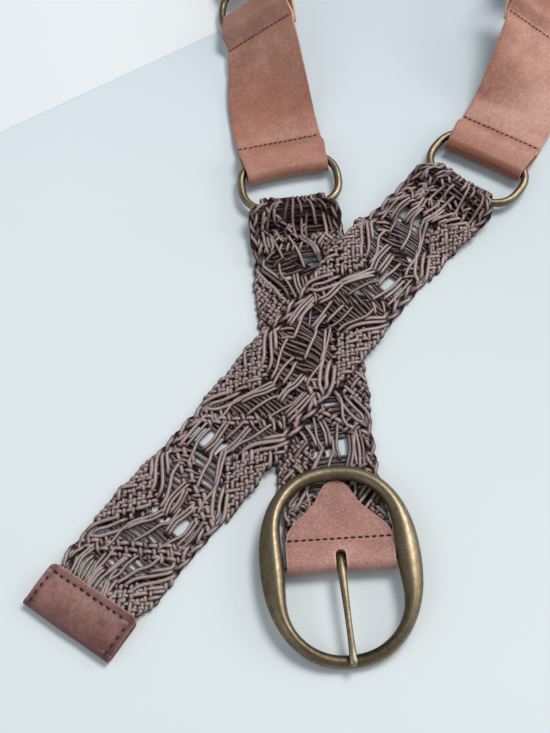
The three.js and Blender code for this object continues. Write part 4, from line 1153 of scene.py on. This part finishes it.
def cap_ribbon():
    mid = (CAP_GAP + CAP_WALL) / 2
    c, L = CAP_WALL + CAP_GAP / 2 + 0.05, CAP_L
    f = make_frame(LONG["x"], LONG["y"], CAP_HEADING)
    cx = -L + mid + CAP_WALL / 2
    a = np.linspace(0, math.pi, 26)
    u1 = np.arange(0, cx + 0.2, -0.4)
    # the leaves close a little towards the stitched sides and the fold
    uu = np.r_[u1, cx - mid * np.sin(a), u1[::-1]]
    hh = np.r_[c - mid + 0 * u1, c - mid * np.cos(a), c + mid + 0 * u1]
    return Ribbon(uu, hh, np.ones(len(uu)), np.zeros(len(uu)), lambda u, t, h: at(f, u, t, h)), f


def cap_stitches(mouth):
    r, pts = np.random.default_rng(17), []
    for side in (-1, 1):
        t = side * (CAP_HALF - 2.6)
        for s in np.arange(mouth - 17.4, mouth - 1.5, 4.15):
            l, j = r.uniform(1.5, 2.3), r.normal(0, 0.14)
            pts.append((s, t + j, s + l, t + j + side * r.uniform(-0.2, 0.3)))
    for t in np.arange(-CAP_HALF + 2.9, CAP_HALF - 4.0, 3.85):
        l, j = r.uniform(1.6, 2.7), r.normal(0, 0.1)
        pts.append((mouth + j + 0.2, t, mouth + j - 0.2, t + l))
    return pts


def make_cap():
    rib, f = cap_ribbon()
    R = rib.length

    def half(s):
        d = np.minimum(s, R - s)
        return CAP_HALF - np.where(d < 3.2, 3.2 - np.sqrt(np.clip(3.2**2 - (3.2 - d) ** 2, 0, None)), 0.0)

    s_list = np.unique(np.r_[np.arange(0, 3.3, 0.2), np.arange(3.3, R - 3.3, 0.55), np.arange(R - 3.3, R, 0.2), R])
    mouth = R - 3.6
    columns = 64
    s_arr = s_list
    v = np.linspace(-1, 1, columns + 1)
    S, Vv = np.meshgrid(s_arr, v, indexing="ij")
    T = Vv * half(s_arr)[:, None]
    r = np.random.default_rng(5)
    ph = r.uniform(0, 6.28, 4)
    top = S > R / 2
    way = np.where(top, 1.0, 0.0)
    # stitched sides and mouth are drawn down; the middle stays puffed
    side_d = CAP_HALF - np.abs(T)
    sink = 0.70 * np.exp(-(((side_d - 2.6) / 1.2) ** 2)) * smooth((R - S) / 2) * (S > R / 2 + 3) + 0.42 * np.exp(-(((S - mouth) / 1.0) ** 2))
    puff = 0.62 * smooth((side_d - 2.6) / 8) * smooth((R - S - 3.8) / 6) * smooth((S - R / 2 + 2) / 8)
    # creases run slantwise from the seams
    slant = np.sin((T * 0.75 + S * 0.55) / 2.6 + 1.2 * np.sin(T / 8.0 + ph[2]) + ph[3])
    H = -(sink * way) + puff * way + 0.10 * np.sin(T / 5.0 + ph[0]) * np.cos(S / 6.0 + ph[1]) - 0.13 * way * np.clip(slant - 0.3, 0, 1) * smooth((side_d - 1) / 5)
    D = S - R / 2
    H = H - 1.25 * way * smooth(D / 3.4) * (1 - smooth((D - 2.5) / 10.0))
    # each stitch pulls a small dimple
    for s0, t0, s1, t1 in cap_stitches(mouth):
        H = H - 0.20 * way * np.exp(-(((S - (s0 + s1) / 2) / 1.5) ** 2 + ((T - (t0 + t1) / 2) / 1.5) ** 2))
    P = rib(S, T, H)
    ni, nj = P.shape[:2]
    idx = np.arange(ni * nj).reshape(ni, nj)
    F = np.stack([idx[:-1, :-1], idx[:-1, 1:], idx[1:, 1:], idx[1:, :-1]], -1).reshape(-1, 4)
    # darker over the fold, along the stitched sides and at the mouth: painted shade on the rolled fold, partly rubbed
    # leather and partly painted shade at the seams
    darken = np.exp(-((D / 7.0) ** 2)) + 0.5 * way * np.exp(-(((side_d - 2.4) / 1.6) ** 2)) + 0.3 * way * np.exp(-(((S - mouth) / 1.4) ** 2))
    ob = mesh_object("tip_leather", P.reshape(-1, 3), F, "belt", attributes={"edge": (np.abs(Vv) + 0 * S).reshape(-1), "burnish_and_shade": darken.reshape(-1), "rim": (0.62 * way * np.exp(-(((R - S) / 0.34) ** 2))).reshape(-1)}, materials=[TIP, RAW_TIP])
    sol = ob.modifiers.new("thickness", "SOLIDIFY")
    sol.thickness, sol.offset, sol.use_even_offset, sol.material_offset_rim = (CAP_WALL - 0.02) / 1000, 0.0, True, 1
    bev = ob.modifiers.new("edges", "BEVEL")
    bev.width, bev.segments, bev.limit_method, bev.angle_limit = 0.0004, 3, "ANGLE", 50 * RAD
    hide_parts("tip_cap")
    pts = cap_stitches(mouth)
    stitch_row("tip_stitches", rib, pts, "belt", radius=0.37, lift=CAP_WALL / 2 - 0.50)
    return ob


FLAP = [(0, 25.2), (15.8, 24.9), (19.0, 24.3), (22.0, 22.5), (26.0, 18.4), (30.0, 14.0), (33.5, 10.8), (37.0, 8.8), (40.0, 7.4), (42.4, 5.8), (43.9, 4.1), (44.8, 2.3), (45.2, 0.7)]


def askew(u, t):
    """The tab is turned a little clockwise to the strap."""
    a, u0 = 2.7 * RAD, B_BAR + 0.35 + TAB_T
    return u0 + (u - u0) * math.cos(a) - t * math.sin(a), t * math.cos(a) + (u - u0) * math.sin(a)


def place_tab(u, t, h):
    u, t, h = np.broadcast_arrays(np.asarray(u, float), np.asarray(t, float), np.asarray(h, float))
    u2, t2 = askew(u, t)
    return place_short(u2, t2, h)


def make_tab():
    T = TAB_T
    r = B_BAR + 0.35 + T / 2
    c, H = r + T / 2, B_BAR_H
    top = lambda u: mix(H + r, tab_top(u) + 0.4 + T / 2, smooth((u - c) / (14 - c)))
    under = lambda u: mix(H - r, T / 2 + 0.1, smooth((u - c) / (12 - c)))
    a = np.linspace(0, math.pi, 22)
    u1 = np.arange(TAB_UNDER, c, -0.4)
    u2 = np.arange(c + 0.4, 45.21, 0.4)
    uu = np.r_[u1, c - r * np.sin(a), u2]
    hh = np.r_[under(u1), H - r * np.cos(a), top(u2)]
    rib = Ribbon(uu, hh, np.ones(len(uu)), np.zeros(len(uu)), place_tab)
    i_top = len(u1) + len(a)
    top_s, top_u = rib.s[i_top:], rib.u[i_top:]
    s_u = lambda u: float(np.interp(u, top_u, top_s))
    under_s, under_u = rib.s[: len(u1)][::-1], rib.u[: len(u1)][::-1]
    s_low = lambda u: float(np.interp(u, under_u, under_s))
    slot0, slot1 = s_low(TAB_SLOT_END), s_u(TAB_SLOT_END)
    # half width of the strip along s
    rows = [0.0]
    while rows[-1] < rib.length - 0.05:
        s = rows[-1]
        end = min(abs(s - slot0), abs(s - slot1))
        tip = rib.length - s
        rows.append(s + (0.22 if end < 3 else 0.25 if tip < 4 else 0.6))
    rows[-1] = rib.length
    rows = np.array(rows)
    u_of = np.interp(rows, rib.s, rib.u)
    fl_u, fl_h = np.array([q[0] for q in FLAP], float), np.array([q[1] for q in FLAP], float)
    # a smooth outline through the flap's points
    fine_u = np.linspace(15.8, 45.2, 200)
    k = np.interp(fine_u, fl_u, fl_h)
    ker = np.ones(11) / 11
    kk = np.convolve(np.r_[np.full(5, k[0]), k, np.full(5, k[-1])], ker, "valid")
    tipk = smooth((45.2 - fine_u) / 3.0)
    fine_h = k * (1 - tipk) + kk * tipk
    half = np.where(rows > slot1, np.where(u_of > 15.8, np.interp(u_of, fine_u, fine_h), 25.1), 25.1)
    half = np.where(rows < slot0 - 4, 25.1, half)
    # slot's half width, with round ends
    d0, d1 = rows - slot0, slot1 - rows
    d = np.minimum(d0, d1)
    slot = np.where(d <= 0, 0, np.where(d < TAB_SLOT, np.sqrt(np.clip(TAB_SLOT**2 - (TAB_SLOT - d) ** 2, 0, None)), TAB_SLOT))
    inner, n_side = np.where(slot > 0, slot, 0), 22
    V, cols = [], 2 * n_side + 7
    for i, s in enumerate(rows):
        k_open = min(max(inner[i], 0.0), half[i] * 0.6)
        ki = k_open if k_open > 0 else min(TAB_SLOT * 0.5, half[i] * 0.3)
        left = np.linspace(-half[i], -ki, n_side + 1)
        mid = np.linspace(-ki, ki, 6)[1:-1]
        ts = np.r_[left, mid, -left[::-1]]
        V.append(ts)
    Tt = np.array(V)
    nrow, ncol = Tt.shape
    S = np.repeat(rows[:, None], ncol, 1)
    st = s_u(15.8)
    wob = np.random.default_rng(8).uniform(0, 6.28, 4)
    Hh = 0.10 * np.sin(S / 9 + wob[0]) * np.cos(Tt / 11 + wob[1]) - 0.22 * np.exp(-(((S - st) / 0.8) ** 2))
    # the flap's tip lifts a little off the cords
    Hh = Hh + 0.25 * smooth((S - s_u(34)) / 10)
    P = rib(S, Tt, Hh)
    faces, mid0, mid1 = [], n_side, n_side + 5
    idx = np.arange(nrow * ncol).reshape(nrow, ncol)
    open_row = (slot[:-1] > 0) & (slot[1:] > 0)
    for i in range(nrow - 1):
        for j in range(ncol - 1):
            if mid0 <= j < mid1 and (open_row[i] or (slot[i] > 0) != (slot[i + 1] > 0)):
                if open_row[i]:
                    continue
            faces.append((idx[i, j], idx[i, j + 1], idx[i + 1, j + 1], idx[i + 1, j]))
    F = np.array(faces)
    used = np.unique(F)
    renum = -np.ones(nrow * ncol, int)
    renum[used] = np.arange(len(used))
    F = renum[F]
    edge = (np.abs(Tt) / half[:, None]).reshape(-1)[used]
    past = np.hypot(np.clip(np.abs(Tt) - slot[:, None], 0, None), np.clip(-d, 0, None)[:, None])
    rim = (np.exp(-((past / 0.55) ** 2)) + 0.5 * np.exp(-(((half[:, None] - np.abs(Tt)) / 0.4) ** 2))).reshape(-1)[used]
    ob = mesh_object("tab_leather", P.reshape(-1, 3)[used], F, "belt", attributes={"edge": edge, "rim": rim}, materials=[TAB, RAW_TAB])
    sol = ob.modifiers.new("thickness", "SOLIDIFY")
    sol.thickness, sol.offset, sol.use_even_offset, sol.material_offset_rim = (T - 0.04) / 1000, 0.0, True, 1
    bev = ob.modifiers.new("edges", "BEVEL")
    bev.width, bev.segments, bev.limit_method, bev.angle_limit = 0.0004, 3, "ANGLE", 50 * RAD
    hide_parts("buckle_tab")
    pts, r2 = [], np.random.default_rng(9)
    t = -24.3
    while t < 22.6:
        pts.append((st + 0.05, t, st - 0.05, t + 2.2 * r2.uniform(0.94, 1.06)))
        t += 3.3
    stitch_row("tab_stitches", rib, pts, "belt", radius=0.37, lift=T / 2 - 0.14)
    return ob


# ------------------------------------------------------------------ metal
def power(v, p):
    return np.sign(v) * np.abs(v) ** p


def oval(a, b, p, ang):
    return a * power(np.cos(ang), 2 / p), b * power(np.sin(ang), 2 / p)


def even_angles(a, b, p, n):
    """Angles that give points evenly spaced along the oval."""
    ang = np.linspace(0, 2 * math.pi, 20001)
    x, y = oval(a, b, p, ang)
    s = np.r_[0, np.cumsum(np.hypot(np.diff(x), np.diff(y)))]
    return np.interp(np.linspace(0, s[-1], n, endpoint=False), s, ang)


def loop_faces(n, m):
    i, j = np.meshgrid(np.arange(n), np.arange(m), indexing="ij")
    i2, j2 = (i + 1) % n, (j + 1) % m
    return np.stack([i * m + j, i2 * m + j, i2 * m + j2, i * m + j2], -1).reshape(-1, 4)


def oval_normal(a, b, p, ang):
    # outward direction from the oval's own equation, which has no kink at the axes
    x, y = oval(a, b, p, ang)
    nx = np.sign(x) * (np.abs(x) / a) ** (p - 1) / a
    ny = np.sign(y) * (np.abs(y) / b) ** (p - 1) / b
    l = np.hypot(nx, ny)
    return x, y, nx / l, ny / l


def make_ring(name, f, seed):
    n, m = 144, 20
    ang = even_angles(RING_A, RING_B, RING_POWER, n)
    x, y, nx, ny = oval_normal(RING_A, RING_B, RING_POWER, ang)
    th = np.arange(m) * 2 * math.pi / m
    r = np.random.default_rng(seed)
    wob = 1 + 0.012 * np.sin(3 * ang + r.uniform(0, 6)) + 0.008 * np.sin(7 * ang + r.uniform(0, 6))
    rad = np.cos(th)[None] * RING_WIRE * wob[:, None]
    z = np.sin(th)[None] * RING_WIRE * wob[:, None]
    P = at(f, (y[:, None] + ny[:, None] * rad), (x[:, None] + nx[:, None] * rad), RING_H + z)
    # paler on the outside and top, partly worn and partly painted highlight; darker towards the bars
    wear_and_painted_light = 0.36 + 0.22 * np.cos(th - 0.9)[None] * np.ones((n, 1)) + 0.10 * np.sin(2 * ang + 1.0)[:, None]
    ob = mesh_object(name, P.reshape(-1, 3), loop_faces(n, m)[:, ::-1], "belt", attributes={"wear_and_painted_light": wear_and_painted_light.reshape(-1)}, materials=[BRASS])
    return ob


BAR = at(SHORT_F, B_BAR + 0.35 + TAB_T, 0, 0)
BUCKLE_F = make_frame(BAR[0], BAR[1], 93.2)


def on_buckle(x, y, z):
    return at(BUCKLE_F, y, x - 0.4, z + B_BAR_H)


def make_buckle():
    n, m = 240, 36
    ang = even_angles(B_A, B_B, B_POWER, n)
    x, y, nx, ny = oval_normal(B_A, B_B, B_POWER, ang)
    s, c = np.sin(ang), np.abs(np.cos(ang))
    # the front and rear values meet smoothly where the sides are thickest
    front = smooth((0.12 - s) / 0.24)
    end = mix(B_REAR, B_FRONT, front)
    width = mix(end, B_SIDE, c**10)
    height = mix(mix(6.0, 5.5, front), 8.6, c**1.5)
    rise = mix(mix(1.3, -2.75, front), 2.6, c**1.3)
    th = np.arange(m) * 2 * math.pi / m
    rad = np.cos(th)
    depth = (rad[None] - 1) * width[:, None] / 2
    # the sides crest near their inner edge, with a long slope outward
    left = smooth(0.5 - np.cos(ang)[:, None])
    depth = depth - 0.20 * left * (c[:, None] ** 2) * width[:, None] * np.clip(np.sin(th), 0, 1)[None] ** 2 * (1 + rad[None] * 0.6) / 1.3
    z = rise[:, None] + np.sin(th)[None] * height[:, None] / 2
    P = on_buckle(x[:, None] + nx[:, None] * depth, y[:, None] + ny[:, None] * depth, z)
    # paler on the crests and edges, partly worn and partly painted highlight placed where the lamps' highlights fall
    wear_and_painted_light = 0.40 + 0.32 * np.cos(th - math.pi * 0.80)[None] * (0.55 + 0.45 * c[:, None]) * (0.35 + 0.65 * left) + 0.26 * np.cos(th - 0.60)[None] * (1 - 0.7 * left) + 0.10 * left * np.cos(th - 0.2)[None]
    # darker over the front bar's inner and lower faces, painted shade
    wear_and_painted_light = wear_and_painted_light - 0.62 * (front * (1 - c) ** 0.8)[:, None] * clamp(0.75 - np.cos(th))[None]
    V, F, W = [P.reshape(-1, 3)], [loop_faces(n, m)], [wear_and_painted_light.reshape(-1)]
    # the bar between the sides
    k, q = 60, 20
    xs = np.linspace(-30, 30, k)
    a = np.arange(q) * 2 * math.pi / q
    # thinner to its ends, so that it turns freely in the fold of the tab
    rb = np.minimum(B_BAR, B_BAR + 0.06 - np.abs(xs) * math.tan(2.7 * RAD))[:, None]
    Q = on_buckle(np.repeat(xs, q), (rb * np.cos(a)).reshape(-1), (rb * np.sin(a)).reshape(-1))
    base = n * m
    i, j = np.meshgrid(np.arange(k - 1), np.arange(q), indexing="ij")
    j2 = (j + 1) % q
    F.append(base + np.stack([i * q + j, i * q + j2, (i + 1) * q + j2, (i + 1) * q + j], -1).reshape(-1, 4)[:, ::-1])
    for e in (0, k - 1):
        for jj in range(1, q - 2, 2):
            f = base + e * q + np.array([0, jj, jj + 1, jj + 2])
            F.append((f if e == 0 else f[::-1])[None])
    V.append(Q)
    W.append(np.full(k * q, 0.3))
    ob = mesh_object("buckle_oval", np.vstack(V), np.vstack(F), "buckle", attributes={"wear_and_painted_light": np.concatenate(W)}, materials=[BRASS])
    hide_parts("buckle_frame")
    return ob


SHANK = [(0.0, 3.45, 1.55, 1.05), (4.0, 3.7, 1.9, 1.45), (10.0, 3.75, 1.85, 1.5), (20.0, 3.6, 1.6, 1.4), (32.0, 3.0, 1.45, 1.3), (40.0, 2.3, 1.6, 1.35), (44.5, 1.95, 1.85, 1.4), (47.0, 1.85, 1.7, 1.25), (47.9, 1.8, 0.9, 0.7)]


def make_prong():
    q = resample(np.array([(a, z, w) for a, z, w, d in SHANK]), 0.6)
    dd = resample(np.array([(a, d, 0) for a, z, w, d in SHANK]), 0.6)
    d = np.interp(q[:, 0], dd[:, 0], dd[:, 1])
    A, Z, W = q[:, 0], q[:, 1], q[:, 2]
    # rounded tip
    tip = 47.9 - 1.9
    W = np.where(A > tip, 1.72 * np.sqrt(np.clip(1 - ((A - tip) / 1.95) ** 2, 0.02, 1)), W)
    d = np.where(A > tip, 1.28 * np.sqrt(np.clip(1 - ((A - tip) / 1.95) ** 2, 0.02, 1)), d)
    m, n = 24, len(A)
    th = np.arange(m) * 2 * math.pi / m
    # a slightly flattened round section
    cx, cz = power(np.cos(th), 0.85), power(np.sin(th), 0.85)
    P = on_buckle(cx[None] * W[:, None], -A[:, None] + 0 * cx[None], Z[:, None] + cz[None] * d[:, None])
    i, j = np.meshgrid(np.arange(n - 1), np.arange(m), indexing="ij")
    j2 = (j + 1) % m
    F = [np.stack([i * m + j, i * m + j2, (i + 1) * m + j2, (i + 1) * m + j], -1).reshape(-1, 4)]
    for e in (0, n - 1):
        for jj in range(1, m - 2, 2):
            f = e * m + np.array([0, jj, jj + 1, jj + 2])
            F.append((f[::-1] if e == 0 else f)[None])
    # paler on top and towards the tip, partly worn and partly painted highlight
    wear_and_painted_light = 0.34 + 0.34 * np.sin(th)[None] + 0.20 * smooth((A[:, None] - 40) / 5)
    V, Wr = [P.reshape(-1, 3)], [np.broadcast_to(wear_and_painted_light, (n, m)).reshape(-1)]
    # the eye round the bar
    n2, m2 = 48, 14
    a2 = np.arange(n2) * 2 * math.pi / n2
    t2 = np.arange(m2) * 2 * math.pi / m2
    rr = 3.5 + 1.1 * np.cos(t2)[None]
    E = on_buckle(1.65 * np.sin(t2)[None] + 0 * a2[:, None], rr * np.cos(a2)[:, None], rr * np.sin(a2)[:, None])
    F.append(n * m + loop_faces(n2, m2))
    V.append(E.reshape(-1, 3))
    Wr.append(np.full(n2 * m2, 0.35))
    ob = mesh_object("prong_pin", np.vstack(V), np.vstack(F), "prong", attributes={"wear_and_painted_light": np.concatenate(Wr)}, materials=[BRASS])
    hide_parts("prong")
    return ob


# ------------------------------------------------------------------ build
make_braids()
make_panel("panel_long_leather", PANEL_LONG, ROUTE_LONG, 31)
make_panel("panel_short_leather", PANEL_SHORT, ROUTE_SHORT, 32)
make_cap()
make_tab()
ring_frame = lambda r: make_frame(r["x"], r["y"], r["heading"])
for i, (key, f) in enumerate((("ring_front_long", ring_frame(RING_LONG)), ("ring_front_short", ring_frame(RING_SHORT)), ("ring_back_long", RING_BACK_LONG), ("ring_back_short", RING_BACK_SHORT))):
    ob = make_ring(key + "_wire", f, 50 + i)
    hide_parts(key)
make_buckle()
make_prong()

# all meshes get outward faces
for ob in bpy.context.scene.objects:
    if ob.type == "MESH" and "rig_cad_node" not in ob and len(ob.data.polygons) < 40000:
        bm = bmesh.new()
        bm.from_mesh(ob.data)
        bmesh.ops.recalc_face_normals(bm, faces=bm.faces)
        bm.to_mesh(ob.data)
        bm.free()

# ------------------------------------------------------------------ stage
me = bpy.data.meshes.new("floor")
me.from_pydata([(-3, -3, 0), (3, -3, 0), (3, 3, 0), (-3, 3, 0)], [], [(0, 1, 2, 3)])
floor = bpy.data.objects.new("floor", me)
bpy.context.scene.collection.objects.link(floor)
me.materials.append(floor_material())

world = bpy.data.worlds.new("studio")
bpy.context.scene.world = world
world.use_nodes = True
bg = world.node_tree.nodes["Background"]
bg.inputs["Color"].default_value = (0.90, 0.95, 1.0, 1)
bg.inputs["Strength"].default_value = 0.38


def area(name, loc, target, size, energy, color, size_y=None):
    ld = bpy.data.lights.new(name, "AREA")
    ld.shape = "RECTANGLE" if size_y else "SQUARE"
    ld.size, ld.energy, ld.color = size, energy, color
    if size_y:
        ld.size_y = size_y
    ob = bpy.data.objects.new(name, ld)
    ob.location = loc
    ob.rotation_euler = (Vector(target) - Vector(loc)).to_track_quat("-Z", "Y").to_euler()
    bpy.context.scene.collection.objects.link(ob)
    return ob


area("window", (1.15, 1.0, 2.4), (0.0, 0.0, 0.0), 1.35, 58.0, (1.0, 0.975, 0.945), 1.0)
area("side", (1.45, 0.05, 0.75), (0.0, -0.05, 0.0), 1.1, 6.0, (1.0, 0.98, 0.955), 0.5)
area("fill", (-1.5, -1.0, 1.3), (0.0, 0.0, 0.0), 1.4, 6.0, (0.90, 0.95, 1.0))

cam_data = bpy.data.cameras.new("camera")
cam_data.lens, cam_data.sensor_width, cam_data.sensor_fit = 56.48, 36.0, "AUTO"
cam_data.clip_start, cam_data.clip_end = 0.01, 50
cam = bpy.data.objects.new("camera", cam_data)
bpy.context.scene.collection.objects.link(cam)
pitch, roll = 62.8325 * RAD, 3.0760 * RAD
fwd = Vector((0, math.cos(pitch), -math.sin(pitch)))
right = Vector((1, 0, 0))
down = Vector((0, -math.sin(pitch), -math.cos(pitch)))
r2 = math.cos(roll) * right + math.sin(roll) * down
d2 = -math.sin(roll) * right + math.cos(roll) * down
cam.matrix_world = Matrix.Translation((-0.03769, -0.35538, 0.52002)) @ Matrix((r2, -d2, -fwd)).transposed().to_4x4()
bpy.context.scene.camera = cam

bpy.context.scene.view_settings.view_transform = "Standard"
bpy.context.scene.view_settings.look = "None"
